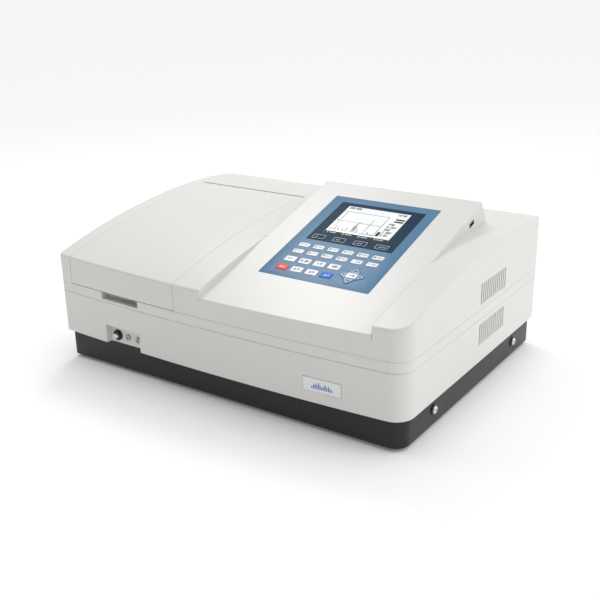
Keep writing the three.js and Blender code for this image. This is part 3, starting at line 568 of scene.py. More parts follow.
def upper_housing():
    groove, depth = 0.28, 0.6
    base = [level_ring(0.5, SPLIT), level_ring(0.15, SPLIT + 0.15), level_ring(0, SPLIT + 0.5),
            level_ring(0, SEAM - groove), level_ring(depth, SEAM - groove * 0.6),
            level_ring(depth, SEAM + groove * 0.6), level_ring(0, SEAM + groove)]
    shell = domed_body("upper_shell", base, 0, EDGE_R)

    # the sloping face: cut down into the roof at the front, built up above it behind
    meets_roof = -78.0
    far = 400.0
    above = [(FRONT - 20, console_z(FRONT - 20)), (CONSOLE_BACK_Y, console_z(CONSOLE_BACK_Y)),
             (CONSOLE_BACK_Y, far), (FRONT - 20, far)]
    boolean(shell, [prism_x("above", above, CONSOLE_LEFT, CONSOLE_RIGHT)])
    strips = [edge_strip("strip_left", CONSOLE_LEFT, -1, 1.2, 160, meets_roof + 8, 30),
              edge_strip("strip_right", CONSOLE_RIGHT, 1, 1.2, 160, meets_roof + 8, 30)]
    boolean(shell, strips)
    boolean(shell, [wedge("rise", CONSOLE_LEFT, CONSOLE_RIGHT, 0.01, meets_roof, 150, 2.5)], "UNION")

    # hollow inside, except for the walls of the well under the lid
    hollow = domed_body("hollow", [level_ring(WALL, SPLIT - 5)], WALL, 1.0)
    boolean(hollow, [wedge("hollow_rise", CONSOLE_LEFT + WALL, CONSOLE_RIGHT - WALL, WALL,
                           meets_roof - 10, 150, 0)], "UNION")
    sunk = [(y, z - WALL / math.cos(TILT)) for y, z in above[:2]] + above[2:]
    wall = 3.0
    boolean(hollow, [
        prism_x("hollow_above", sunk, CONSOLE_LEFT - WALL, CONSOLE_RIGHT + WALL),
        box("well_walls", LID_LEFT - wall, LID_RIGHT + wall, FRONT - 30, WELL_REAR + wall, SPLIT - 9, far)])
    boolean(shell, [hollow])

    # the well and the opening that the lid closes
    inside = loft("inside", [level_ring(WALL, DECK_TOP), level_ring(WALL, SEAM + 4)])
    well = box("well", LID_LEFT, LID_RIGHT, FRONT - 30, WELL_REAR, DECK_TOP - 5, SEAM + 9)
    boolean(inside, [well], "INTERSECT")
    notch_back = FRONT + NOTCH["depth"] + 3
    pocket = box("pocket", NOTCH["x0"] - 3, NOTCH["x1"] + 3, FRONT - 5, notch_back + 3, DECK_TOP - 5, SEAM)
    boolean(inside, [pocket])
    opening = box("opening", LID_LEFT, LID_RIGHT, FRONT - 30, WELL_REAR, SEAM, far)
    boolean(shell, [inside, opening])
    edge = 0.9
    boolean(shell, [edge_strip("lip_left", LID_LEFT, -1, edge, SEAM - 3, WELL_REAR),
                    edge_strip("lip_right", LID_RIGHT, 1, edge, SEAM - 3, WELL_REAR)])

    notch = slab_y("notch", (NOTCH["x0"] + NOTCH["x1"]) / 2, NOTCH["z0"] + 20, NOTCH["x1"] - NOTCH["x0"], 40,
                   1.2, FRONT - 5, notch_back)
    low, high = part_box("sample_chamber")
    flange, room = 8.0, 0.3
    chamber = box("chamber_hole", low.x / MM + flange - room, high.x / MM - flange + room,
                  low.y / MM + flange - room, high.y / MM - flange + room, SPLIT - 5, DECK_TOP + 5)
    hinge = prism_x("hinge_bore", circle(HINGE_Y, hinge_z(), HINGE_BORE, 20), LID_LEFT - wall - 1,
                    LID_RIGHT + wall + 1)
    x0, x1, v0, v1 = OVERLAY
    room, rim = 0.35, 3
    bed = console_slab("overlay_bed", x0 - room, x1 + room, v0 - room, v1 + room, -1.1, 8, 1.4)
    aperture = console_slab("aperture", x0 + rim, x1 - rim, v0 + rim, v1 - rim, -12, 4, 1.0)
    wide, high = USB["w"] / 2 + room, USB["h"] / 2 + room
    usb = console_slab("usb_hole", CONSOLE_RIGHT - 12, CONSOLE_RIGHT + 6, USB["v"] - wide, USB["v"] + wide,
                       USB["n"] - high, USB["n"] + high, 0.3)
    boolean(shell, [notch, chamber, hinge, bed, aperture, usb, vent_cutters(*VENT_HIGH)])
    return shell


# ---------------------------------------------------------------- lid


def lid_drops(count_in, r):
    """Distances in from an edge over its rounding."""
    return [r * (1 - math.cos(a)) for a in np.linspace(0, math.pi / 2, count_in)]


def lid_section(x, r):
    """Rows down the lid at x, from its rear edge over the roof to the bottom of the front skirt:
    outer point, outward normal, and distance from the nearer end."""
    rows = []
    y_front = front_at(x) + EDGE_R
    for d in lid_drops(5, r):
        rows.append((LID_REAR - d, crown(LID_REAR - d), None, d))
    for y in np.linspace(LID_REAR - r, y_front, 46)[1:]:
        rows.append((y, crown(y), None, r))
    for a in np.linspace(math.pi / 2, 0, 9)[1:]:
        y = front_at(x) + EDGE_R * (1 - math.cos(a))
        rows.append((y, crown(y) - EDGE_R * (1 - math.sin(a)), (-math.cos(a), math.sin(a)), r))
    top = rows[-1][1]
    bottom = SEAM + LID_GAP
    for z in np.linspace(top, bottom + r, 5)[1:]:
        rows.append((front_at(x), z, (-1.0, 0.0), r))
    for d in reversed(lid_drops(5, r)[:-1]):
        rows.append((front_at(x), bottom + d, (-1.0, 0.0), d))
    out = []
    for y, z, normal, d in rows:
        if normal is None:
            slope = (crown(y + 1) - crown(y - 1)) / 2
            length = math.hypot(1, slope)
            normal = (-slope / length, 1 / length)
        out.append((y, z, normal, d))
    return out


def lid_panel():
    r, thick = 1.2, 3.0
    x0, x1 = LID_LEFT + LID_GAP, LID_RIGHT - LID_GAP
    edge = lid_drops(5, r)
    columns = [(x0 + d, d) for d in edge]
    columns += [(x, r) for x in np.linspace(x0 + r, x1 - r, 18)[1:-1]]
    columns += [(x1 - d, d) for d in reversed(edge)]
    outer, inner = [], []
    for x, dx in columns:
        section = lid_section(x, r)
        for y, z, (ny, nz), ds in section:
            a, b = r - dx, r - ds
            drop = r - math.sqrt(max(r * r - a * a - b * b, 0.0))
            outer.append((x, y - ny * drop, z - nz * drop))
            inner.append((x, y - ny * thick, z - nz * thick))
    rows = len(section)
    cols = len(columns)
    verts = outer + inner
    shift = len(outer)
    faces = []
    for c in range(cols - 1):
        for k in range(rows - 1):
            i = c * rows + k
            faces.append((i, i + 1, i + rows + 1, i + rows))
            faces.append((shift + i, shift + i + rows, shift + i + rows + 1, shift + i + 1))
    rim = list(range(rows)) + [c * rows + rows - 1 for c in range(1, cols)]
    rim += [(cols - 1) * rows + k for k in range(rows - 2, -1, -1)]
    rim += [c * rows for c in range(cols - 2, 0, -1)]
    for i, j in zip(rim, rim[1:] + rim[:1]):
        faces.append((i, shift + i, shift + j, j))
    return mesh_object("lid_shell", verts, faces, 40)


def lid():
    """The lid's panel with a stiffening flange inside each side edge and two hinge ears."""
    panel = lid_panel()
    adds = []
    thick, deep = 2.5, 16.0
    for x in (LID_LEFT + LID_GAP + 1.4, LID_RIGHT - LID_GAP - 1.4 - thick):
        points, normals = edge_path(x, SEAM + 4, LID_REAR - 1.5, 24)
        outer = [(y - 1.5 * ny, z - 1.5 * nz) for (y, z), (ny, nz) in zip(points, normals)]
        low = [(y, z - deep) for y, z in outer if y > front_at(x) + deep]
        corner = [(front_at(x) + deep, SEAM + 4)]
        outline = outer + list(reversed(low)) + corner
        adds.append(prism_x("flange", outline, x, x + thick))
    z = hinge_z()
    for x in (-262.0, -100.0):
        adds.append(box("ear", x, x + 12, HINGE_Y - 5.5, HINGE_Y + 3.4, z - 5.5, z + 4.6))
    boolean(panel, adds, "UNION", 40)
    bore = prism_x("bore", circle(HINGE_Y, z, HINGE_BORE, 24), LID_LEFT - 2, LID_RIGHT + 2)
    boolean(panel, [bore], "DIFFERENCE", 40)
    return panel


# ---------------------------------------------------------------- base, screws, port


def base_tray():
    shape = {"half": HALF - 6.2, "front": FRONT + BOW + 5.8, "rear": REAR - 3.5, "bow": 0.0, "right": 21.8}
    foot, top, floor = 5.0, 48.7, 8.0
    quarter = [math.pi / 2 * i / 5 for i in range(6)]
    rings = [(1.8 * (1 - math.sin(a)), foot + 1.8 * (1 - math.cos(a))) for a in quarter]
    rings += [(0.6 * (1 - math.cos(a)), top - 0.6 * (1 - math.sin(a))) for a in quarter]
    rings += [(2.5, top), (2.5, floor)]
    return loft("base_tray_fine", [level_ring(inset, z, **shape) for inset, z in rings])


def turned(name, profile, origin, axis, count=48, sharp=28):
    """A profile of (radius, distance) pairs turned about `axis` through `origin`. Radius 0 closes an end."""
    axis = Vector(axis).normalized()
    across = axis.orthogonal().normalized()
    other = axis.cross(across)
    verts, faces, rings = [], [], []
    for r, along in profile:
        centre = Vector(origin) + axis * along
        if r == 0:
            rings.append([len(verts)])
            verts.append(centre)
        else:
            rings.append(list(range(len(verts), len(verts) + count)))
            turns = [2 * math.pi * i / count for i in range(count)]
            verts += [centre + across * r * math.cos(a) + other * r * math.sin(a) for a in turns]
    for a, b in zip(rings, rings[1:]):
        for i in range(count):
            j = (i + 1) % count
            face = [a[i % len(a)], a[j % len(a)], b[j % len(b)], b[i % len(b)]]
            faces.append(tuple(dict.fromkeys(face)))
    return mesh_object(name, verts, faces, sharp)


def round_edge(r0, z0, r1, z1, steps=5):
    """A quarter round from (r0, z0) to (r1, z1), bulging outwards from the axis."""
    turns = [math.pi / 2 * i / steps for i in range(steps + 1)]
    if r1 < r0:
        return [(r1 + (r0 - r1) * math.cos(a), z0 + (z1 - z0) * math.sin(a)) for a in turns]
    return [(r0 + (r1 - r0) * math.sin(a), z1 + (z0 - z1) * math.cos(a)) for a in turns]


def hexagon_socket(obj, origin, axis, size, depth):
    axis = Vector(axis).normalized()
    across = axis.orthogonal().normalized()
    other = axis.cross(across)
    rings = []
    for along in (-depth, depth + 4):
        turns = [math.pi / 3 * i + 0.2 for i in range(6)]
        rings.append([Vector(origin) + axis * along + (across * math.cos(a) + other * math.sin(a)) * size
                      for a in turns])
    boolean(obj, [loft("hexagon", rings)], sharp=28)


def make_base():
    place(base_tray(), "charcoal_paint", nodes=["base_tray"])
    for end in ("front", "rear"):
        for side in ("left", "right"):
            low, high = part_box(f"foot_{end}_{side}")
            x, y = ((low[i] + high[i]) / 2 / MM for i in (0, 1))
            r = (high.x - low.x) / 2 / MM
            profile = [(0, 0.6), (r - 4, 0.6), (r - 3.6, 0), (r - 1, 0), *round_edge(r - 1, 0, r, 1)[1:],
                       (r, 2.4), (r - 0.5, 2.7), (r - 0.5, 3.4), (r, 3.7), (r, 4.7), (0, 4.7)]
            place(turned(f"foot_{end}_{side}_fine", profile, (x, y, 0), (0, 0, 1)), "rubber",
                  nodes=[f"foot_{end}_{side}"])
            low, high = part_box(f"base_screw_{end}_{side}")
            sign = 1 if side == "right" else -1
            inner = (low.x if sign > 0 else high.x) / MM
            y, z = ((low[i] + high[i]) / 2 / MM for i in (1, 2))
            washer = [(0, 0), (8.1, 0), *round_edge(8.5, 0.4, 8.1, 0.9, 3), (6.0, 1.15), (0, 1.15)]
            place(turned(f"screw_washer_{end}_{side}", washer, (inner, y, z), (sign, 0, 0)), "black_plastic")
            head = [(0, 1.2), (5.7, 1.2), (5.9, 1.5), (5.9, 2.1),
                    *round_edge(5.9, 2.1, 2.6, 4.3, 8), (0, 4.5)]
            screw = turned(f"screw_head_{end}_{side}", head, (inner, y, z), (sign, 0, 0))
            hexagon_socket(screw, (inner + sign * 4.5, y, z), (sign, 0, 0), 1.9, 2.0)
            place(screw, "steel", nodes=[f"base_screw_{end}_{side}"])


def make_port():
    back = RECESS["back"] - 0.3
    for side, x in zip(("left", "right"), PLUG_X):
        profile = [(0, -4.4), (3, -4.4), (3, 0), (4.8, 0), (4.8, 1.9),
                   *round_edge(4.8, 1.9, 4.0, 2.6, 4), (0, 2.6)]
        plug = turned(f"plug_{side}", profile, (x, back, ROD["z"]), (0, -1, 0))
        hexagon_socket(plug, (x, back - 2.6, ROD["z"]), (0, -1, 0), 1.9, 1.6)
        place(plug, "grey_metal", nodes=[f"port_plug_{side}"])
    front = back - 2.8
    ring = [(3.0, 8), (3.0, 0.4), (3.4, 0), (6.2, 0), (6.45, 0.3), (7.05, 0.3), (7.3, 0), (7.8, 0),
            *round_edge(7.8, 0, 8.6, 0.8)[1:], (8.6, 2.8), (4.5, 2.8), (4.5, 8), (3.0, 8)]
    place(turned("bushing_fine", ring, (ROD["x"], front, ROD["z"]), (0, 1, 0), 64), "black_plastic",
          nodes=["rod_bushing"])
    low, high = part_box("pull_rod")
    start, end = low.y / MM, high.y / MM
    knob = [(0, 0.7), (1.2, 0.7), (1.5, 0.4), (2.0, 0.0), (3.1, 0.0), *round_edge(3.1, 0, 3.9, 0.8)[1:]]
    for i in range(4):
        groove = 1.2 + 0.75 * i
        knob += [(3.9, groove), (3.7, groove + 0.15), (3.7, groove + 0.35), (3.9, groove + 0.5)]
    knob += [(3.9, 4.2), (3.7, 4.4), (2.5, 4.4), (2.5, end - start), (0, end - start)]
    place(turned("pull_rod_fine", knob, (ROD["x"], start, ROD["z"]), (0, 1, 0)), "steel", "cell_slide",
          ["pull_rod"])


def make_nameplate():
    n = NAMEPLATE
    turn = nameplate_turn()
    front = n["sunk"] - 0.3 - 1.2
    plate = slab_y("nameplate_fine", 0, 0, n["w"] - 0.5, n["h"] - 0.5, 1.2, front, n["sunk"] - 0.3)
    boolean(plate, [slab_y("field", 0, 0, n["w"] - 2.6, n["h"] - 2.6, 0.7, front - 1, front + 0.2)])
    plate.data.transform(turn)
    place(plate, "plate_silver", nodes=["nameplate"])
    bars = [3, 5, 8, 6, 9.5, 7, 4, 6, 8.5, 5.5, 7.5, 4.5, 3]
    marks = [box("bar", -16 + 2.6 * i, -14.6 + 2.6 * i, front + 0.02, front + 0.25, -5.0, -5.0 + height)
             for i, height in enumerate(bars)]
    stamp = joined("nameplate_bars", marks)
    stamp.data.transform(turn)
    place(stamp, "plate_silver", material=INK_BLUE)


# ---------------------------------------------------------------- console face

KEY_RISE, KEY_DEPTH = 0.7, 2.6
SCREEN = {"x": 123.0, "v": 248.4, "w": 110.0, "h": 81.6}
SURROUND = (51.5, 198.5, 184.5, 297.0)  # x0, x1, v0, v1
NAV = {"x": 172.0, "v": 116.2, "reach": 19.5, "waist": 9.0}


def on_face(name, outline, n0, n1, edge=0.0, sharp=32):
    """A plate on the console's face; `edge` rounds its upper rim. The outline is a function of inset."""
    stations = [(0, n0)]
    if edge:
        turns = [math.pi / 2 * i / 4 for i in range(5)]
        stations += [(edge * (1 - math.cos(a)), n1 - edge * (1 - math.sin(a))) for a in turns]
    else:
        stations.append((0, n1))
    return loft(name, [[console_face(x, v, n) for x, v in outline(inset)] for inset, n in stations], sharp)


def rectangle_at(x, v, w, h, r, steps=5):
    return lambda inset: rounded_rectangle(w - 2 * inset, h - 2 * inset, max(r - inset, 0.1), steps, x, v)


def ring_on_face(name, x, v, w, h, r, line, n0, n1):
    """A printed outline: a thin frame of the given line width."""
    frame_piece = on_face(name, rectangle_at(x, v, w, h, r), n0, n1)
    hole = on_face("hole", rectangle_at(x, v, w - 2 * line, h - 2 * line, max(r - line, 0.1)), n0 - 1, n1 + 1)
    return boolean(frame_piece, [hole])


def star(inset):
    far, near = NAV["reach"] - inset, NAV["waist"] - inset * 0.8
    points = []
    for i in range(4):
        c, s = math.cos(i * math.pi / 2), math.sin(i * math.pi / 2)
        for a, b in ((far, -1.8), (far + 0.25, 0), (far, 1.8), (near, near)):
            points.append((NAV["x"] + a * c - b * s, NAV["v"] + a * s + b * c))
    return points


STROKES = {  # strokes of the digits on a 2 by 4 grid, from the lower left
    "0": [[(0, 0), (2, 0), (2, 4), (0, 4), (0, 0)]],
    "1": [[(0.4, 3.2), (1.2, 4), (1.2, 0)]],
    "2": [[(0, 4), (2, 4), (2, 2), (0, 2), (0, 0), (2, 0)]],
    "3": [[(0, 4), (2, 4), (2, 0), (0, 0)], [(0.6, 2), (2, 2)]],
    "4": [[(0, 4), (0, 2), (2, 2)], [(2, 4), (2, 0)]],
    "5": [[(2, 4), (0, 4), (0, 2), (2, 2), (2, 0), (0, 0)]],
    "6": [[(2, 4), (0, 4), (0, 0), (2, 0), (2, 2), (0, 2)]],
    "7": [[(0, 4), (2, 4), (1, 0)]],
    "8": [[(0, 0), (2, 0), (2, 4), (0, 4), (0, 0)], [(0, 2), (2, 2)]],
    "9": [[(2, 2), (0, 2), (0, 4), (2, 4), (2, 0), (0, 0)]],
    ".": [[(0.9, 0), (0.9, 0.5)]],
    "-": [[(0, 2), (2, 2)]],
    "+": [[(0, 2), (2, 2)], [(1, 1), (1, 3)]],
    "/": [[(0, 0), (2, 4)]],
}


def stroke_boxes(lines, width, n0, n1):
    """Each straight stroke of the polylines as a thin bar standing on the console's face."""
    bars = []
    for line in lines:
        for (xa, va), (xb, vb) in zip(line, line[1:]):
            run = Vector((xb - xa, vb - va))
            if run.length < 1e-6:
                continue
            u = run.normalized() * width / 2
            side = Vector((-u.y, u.x))
            a, b = Vector((xa, va)) - u, Vector((xb, vb)) + u
            corners = [a - side, b - side, b + side, a + side]
            bars.append(loft("bar", [[console_face(c.x, c.y, n) for c in corners] for n in (n0, n1)]))
    return bars


def figures(text, x, v, height, width, n0, n1):
    """Digits and signs written with their lower left corner at (x, v)."""
    k = height / 4
    bars = []
    for i, sign in enumerate(text):
        lines = [[(x + i * 3.1 * k + a * k, v + b * k) for a, b in line] for line in STROKES[sign]]
        bars += stroke_boxes(lines, width, n0, n1)
    return bars


def node_place(node):
    """Where a node's middle lies on the console's face: across, and up the slope."""
    low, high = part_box(node)
    x, y, z = ((low[i] + high[i]) / 2 / MM for i in range(3))
    return x, (y - FRONT) * math.cos(TILT) + (z - CONSOLE_FRONT_Z) * math.sin(TILT)


KEY_SIZES = {"digit_upper": (17.5, 9.5), "digit_lower": (17.5, 9.5), "command": (18.5, 12.5),
             "action": (18.5, 12.5), "soft": (22.5, 13.0)}
KEY_COUNTS = {"digit_upper": 6, "digit_lower": 6, "command": 4, "action": 4, "soft": 4}
DIGIT_KEYS = {"digit_upper": "123456", "digit_lower": "7890.-"}


def key_marks(row, i, x, v):
    """What is printed on a key: a digit, or a simple sign."""
    top = KEY_RISE
    n0, n1 = top - 0.05, top + 0.03
    if row in DIGIT_KEYS:
        bars = figures(DIGIT_KEYS[row][i], x - 6.0, v - 1.9, 3.8, 1.0, n0, n1)
        for j in range(3):
            left = x - 1.6 + 2.7 * j
            bars += stroke_boxes([[(left, level), (left + 1.5, level)] for level in (v - 1.1, v + 0.8)],
                                 0.7, n0, n1)
        return bars
    signs = {
        "command": ["+/-", "0.00", "1/2", "100"],
        "action": ["0/1", "2/3", "3/4", ""],
    }[row][i]
    if row == "action" and i == 3:
        arrow = [[(x + 4, v + 2.4), (x + 4, v - 0.4), (x - 3.4, v - 0.4)],
                 [(x - 1.2, v + 1.6), (x - 3.6, v - 0.4)], [(x - 1.2, v - 2.4), (x - 3.6, v - 0.4)]]
        return stroke_boxes(arrow, 1.0, n0, n1)
    height = 4.0
    wide = (len(signs) * 3.1 - 1.1) * height / 4
    return figures(signs, x - wide / 2, v - height / 2, height, 0.95, n0, n1)


def make_keys():
    n0, n1 = KEY_RISE - 0.05, KEY_RISE + 0.03  # the printing on the soft keys
    for row, (w, h) in KEY_SIZES.items():
        for i in range(KEY_COUNTS[row]):
            node = f"key_{row}_{i + 1}"
            x, v = node_place(node)
            slot = {"key_action_1": "key_red", "key_action_4": "key_blue"}.get(node)
            slot = slot or ("key_dark" if row == "soft" else "key_white")
            cap = on_face(f"{node}_cap", rectangle_at(x, v, w, h, 1.3), -KEY_DEPTH, KEY_RISE, 0.45, 40)
            place(cap, slot, f"{node}_button", [node])
            if row == "soft":
                line = ring_on_face(f"{node}_outline", x, v, w - 1.6, h - 2.0, 1.0, 0.6, n0, n1)
                place(line, slot, f"{node}_button", material=PALE_INK_AND_HIGHLIGHT)
                sign = [[(x - 5 + 3.4 * j, v - 1.6), (x - 3.2 + 3.4 * j, v + 1.4)] for j in range(i + 1)]
                bars = stroke_boxes(sign, 0.8, n0, n1)
                place(joined(f"{node}_mark", bars), slot, f"{node}_button", material=PALE_INK_AND_HIGHLIGHT)
                continue
            bars = key_marks(row, i, x, v)
            pale = slot in ("key_red", "key_blue")
            place(joined(f"{node}_mark", bars), slot, f"{node}_button", material=PALE_INK_AND_HIGHLIGHT if pale else INK)


def make_navigation():
    pad = on_face("navigation_pad", star, -KEY_DEPTH, KEY_RISE, 0.4, 40)
    body = "key_navigation_button"
    place(pad, "key_pad", body, ["key_navigation"])
    x, v = NAV["x"], NAV["v"]
    n0, n1 = KEY_RISE - 0.05, KEY_RISE + 0.05
    middle = on_face("navigation_middle", rectangle_at(x, v, 16.5, 11.5, 1.2), n0, KEY_RISE + 0.35, 0.25, 40)
    place(middle, "key_white", body)
    # the arrows are low embossed ridges; their pale colour is a painted highlight along the ridges, not print
    lines = []
    for i in range(4):
        c, s = math.cos(i * math.pi / 2), math.sin(i * math.pi / 2)
        tip, back, half = (17.4, 11.0, 4.6) if i % 2 == 0 else (17.4, 8.8, 6.4)
        corners = [(tip, 0), (back, half), (back, -half), (tip, 0)]
        lines.append([(x + a * c - b * s, v + a * s + b * c) for a, b in corners])
    place(joined("navigation_arrows", stroke_boxes(lines, 0.9, n0, n1)), "key_pad", body, material=PALE_INK_AND_HIGHLIGHT)
    arrow = [[(x - 4, v), (x + 4, v)], [(x + 1.6, v + 2), (x + 4.2, v), (x + 1.6, v - 2)]]
    marks = stroke_boxes(arrow, 1.0, KEY_RISE + 0.3, KEY_RISE + 0.38)
    place(joined("navigation_mark", marks), "key_white", body, material=INK)


def overlay_holes(rows):
    """Cutters for the screen and for the given rows of keys."""
    screen = rectangle_at(SCREEN["x"], SCREEN["v"], SCREEN["w"], SCREEN["h"], 0.6)
    holes = [on_face("screen_hole", screen, -2, 2)]
    for row in rows:
        w, h = KEY_SIZES[row]
        for i in range(KEY_COUNTS[row]):
            x, v = node_place(f"key_{row}_{i + 1}")
            holes.append(on_face("key_hole", rectangle_at(x, v, w + 0.6, h + 0.6, 1.5, 3), -2, 2))
    return holes


def make_overlay():
    x0, x1, v0, v1 = OVERLAY
    outline = rectangle_at((x0 + x1) / 2, (v0 + v1) / 2, x1 - x0, v1 - v0, 1.4)
    sheet = on_face("overlay_sheet", outline, -0.8, 0.0, 0.15)
    holes = overlay_holes(KEY_SIZES)
    holes.append(on_face("navigation_hole", lambda inset: star(-0.3), -2, 2))
    boolean(sheet, [joined("holes", holes)])
    place(sheet, "overlay_blue", nodes=["keypad_overlay"])

    x0, x1, v0, v1 = SURROUND
    outline = rectangle_at((x0 + x1) / 2, (v0 + v1) / 2, x1 - x0, v1 - v0, 0.8)
    surround = on_face("overlay_surround", outline, -0.1, 0.12)
    boolean(surround, [joined("cuts", overlay_holes(["soft"]))])
    place(surround, "key_dark")


def make_display():
    """The liquid crystal display: a lit panel with a graph, a column of figures and a menu bar."""
    x0, x1 = SCREEN["x"] - SCREEN["w"] / 2 + 0.3, SCREEN["x"] + SCREEN["w"] / 2 - 0.3
    v0, v1 = SCREEN["v"] - SCREEN["h"] / 2 + 0.3, SCREEN["v"] + SCREEN["h"] / 2 - 0.3
    outline = rectangle_at((x0 + x1) / 2, (v0 + v1) / 2, x1 - x0, v1 - v0, 0.4)
    glass = on_face("display_glass", outline, -5, -0.4, 0.1)
    back = on_face("display_back", rectangle_at(SCREEN["x"], SCREEN["v"] + 3, 132, 94, 2), -12, -5.0, 0.3)
    place(back, "black_plastic")
    place(glass, "screen", nodes=["display_module"])
    n0, n1 = -0.45, -0.36

    bar = 7.2
    menu = [on_face("menu", rectangle_at((x0 + x1) / 2, v0 + bar / 2, x1 - x0 - 0.6, bar, 0.2), n0, n1)]
    place(joined("display_menu_bar", menu), "screen", material=INK)
    pale = []
    for i, label in enumerate("1234"):
        x = x0 + 5 + i * 27
        pale += figures(label, x, v0 + 1.8, 3.6, 0.9, n1 - 0.02, n1 + 0.04)
        pale += stroke_boxes([[(x + 5, v0 + 3.6), (x + 15, v0 + 3.6)]], 1.5, n1 - 0.02, n1 + 0.04)
    place(joined("display_menu_marks", pale), "screen", material=PALE_INK_AND_HIGHLIGHT)

    left, right, low, high = 76.0, 148.0, 219.0, 273.6
    mid = (low + high) / 2
    lines = [[(left, low), (right, low), (right, high), (left, high), (left, low)],
             [(left, mid), (right, mid)], [(left + 53, low), (left + 53, high - 14)]]
    bars = stroke_boxes(lines, 0.8, n0, n1)
    peaks = {4: 14, 9: 9, 17: 6, 23: 13, 32: 22, 37: 16, 41: 11, 34: 31, 60: 7}
    trace = [(left, low + 1.5)]
    for at, height in sorted(peaks.items()):
        trace += [(left + at - 0.9, low + 2), (left + at, low + height), (left + at + 0.9, low + 2)]
    bars += stroke_boxes([trace + [(right, low + 1.5)]], 0.8, n0, n1)
    for i, label in enumerate(("1", "0", "0")):
        bars += figures(label, left - 4.4, high - 3.4 - i * (high - low - 3.4) / 2, 3.4, 0.8, n0, n1)
    bars += figures("200-800", x0 + 4, v1 - 6.6, 4.0, 0.9, n0, n1)
    bars += figures("12/30", x1 - 20, v1 - 7.4, 4.0, 0.9, n0, n1)
    for i, label in enumerate(("546", "0.254", "656", "1.087", "0.02")):
        bars += figures(label, right + 9, high - 20 - i * 7.6, 4.0, 0.9, n0, n1)
    place(joined("display_graph", bars), "screen", material=INK)
    places = [(right + 20, high - 3, 15, 4), (right + 20, high - 9.2, 15, 4), (right + 5, low + 7, 5, 12)]
    blocks = [on_face("block", rectangle_at(*where, 0.2), n0, n1) for where in places]
    place(joined("display_blocks", blocks), "screen", material=INK)


def make_usb():
    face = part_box("usb_socket")[1].x / MM
    v, n = USB["v"], USB["n"]

    def plate(name, x0, x1, w, h, r):
        outline = rounded_rectangle(w, h, r, 4, v, n)
        return loft(name, [[console_face(x, a, b) for a, b in outline] for x in (x0, x1)])

    socket = plate("usb_shell", face - USB["deep"], face, USB["w"] - 0.5, USB["h"] - 0.5, 0.9)
    boolean(socket, [plate("mouth", face - 12, face + 2, 14, 5.7, 0.5)])
    place(socket, "steel", nodes=["usb_socket"])
    outline = rounded_rectangle(11.4, 1.9, 0.3, 3, v, n + 1.0)
    ends = (face - 13, face - 1.4)
    tongue = loft("usb_tongue", [[console_face(x, a, b) for a, b in outline] for x in ends])
    place(tongue, "black_plastic")


# ---------------------------------------------------------------- inside and rear


def soften(node, width, slot):
    """A CAD piece shown as it is, with its edges broken and a worked surface."""
    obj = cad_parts[node]
    bevel = obj.modifiers.new("edges", "BEVEL")
    bevel.width = width * MM
    bevel.segments = 3
    bevel.limit_method = "ANGLE"
    bevel.angle_limit = math.radians(40)
    bevel.use_clamp_overlap = True
    obj.data.materials.clear()
    obj.data.materials.append(FINISHES[slot])


CAD_FINISHES = {  # node: width of its broken edges, and finish
    "sample_chamber": (0.8, "black_anodised"), "cell_carriage": (0.5, "black_anodised"),
    "monochromator_case": (1.2, "cast_aluminium"), "diffraction_grating": (0.3, "grating_glass"),
    "lamp_house": (0.6, "sheet_metal"), "detector_module": (0.6, "black_anodised"),
    "power_supply": (0.6, "sheet_metal"), "main_board": (0.2, "board_green"),
    "keypad_board": (0.2, "board_green"), "rear_panel": (0.3, "sheet_metal"),
    "fan_frame": (0.4, "black_plastic"), "fan_impeller": (0.25, "black_plastic"),
    "power_inlet": (0.5, "black_plastic"), "power_rocker": (0.5, "black_plastic"),
    "lid_hinge_pin": (0.4, "steel"),
}


def make_rear():
    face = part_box("power_inlet")[1].y / MM
    x, z = -98.0, 84.0
    pins = [box("pin", x + dx - w / 2, x + dx + w / 2, face - 15.5, face - 2.5, z + dz - 2.4, z + dz + 2.4)
            for dx, dz, w in ((-7, -1.6, 1.6), (7, -1.6, 1.6), (0, 2.2, 1.6))]
    place(joined("inlet_pins", pins), "steel")
    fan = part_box("fan_impeller")
    fx, fz = ((fan[0][i] + fan[1][i]) / 2 / MM for i in (0, 2))
    y0 = REAR - 3.8
    guard = []
    for radius in (6.0, 12.5, 19.0, 24.0):
        wire = circle(radius, y0 + 2.0, 0.8, 8)
        rings = []
        for i in range(48):
            a = 2 * math.pi * i / 48
            rings.append([(fx + r * math.cos(a), y, fz + r * math.sin(a)) for r, y in wire])
        guard.append(loft("guard_ring", rings, closed=True, sharp=80))
    place(joined("fan_guard", guard), "steel")
    shade(bpy.data.objects["fan_guard"], 80)
    screws = []
    profile = [(0, -0.5), (2.6, -0.5), (2.6, 0.2), *round_edge(2.6, 0.2, 1.2, 1.4, 4), (0, 1.5)]
    for x in (-136, 0, 136):
        for z in (59, 109):
            screws.append(turned("panel_screw", profile, (x, REAR - 3.825, z), (0, 1, 0), 24))
    place(joined("panel_screws", screws), "steel")


# ---------------------------------------------------------------- camera, light, floor

CAMERA = {"azimuth": 34.49, "elevation": 20.70, "roll": -1.13, "distance": 1505.27, "lens": 55.32,
          "target": (1.22, 0.09, 89.47)}


def make_camera():
    az, el, roll = (math.radians(CAMERA[k]) for k in ("azimuth", "elevation", "roll"))
    back = Vector((math.sin(az) * math.cos(el), -math.cos(az) * math.cos(el), math.sin(el)))
    right = Vector((math.cos(az), math.sin(az), 0))
    up = back.cross(right)
    right, up = right * math.cos(roll) + up * math.sin(roll), up * math.cos(roll) - right * math.sin(roll)
    data = bpy.data.cameras.new("camera")
    data.lens = CAMERA["lens"]
    data.sensor_width = 36
    data.clip_start, data.clip_end = 0.05, 50
    camera = bpy.data.objects.new("camera", data)
    place = Vector(CAMERA["target"]) * MM + back * CAMERA["distance"] * MM
    camera.matrix_world = Matrix((
        (right.x, up.x, back.x, place.x), (right.y, up.y, back.y, place.y),
        (right.z, up.z, back.z, place.z), (0, 0, 0, 1)))
    bpy.context.scene.collection.objects.link(camera)
    bpy.context.scene.camera = camera


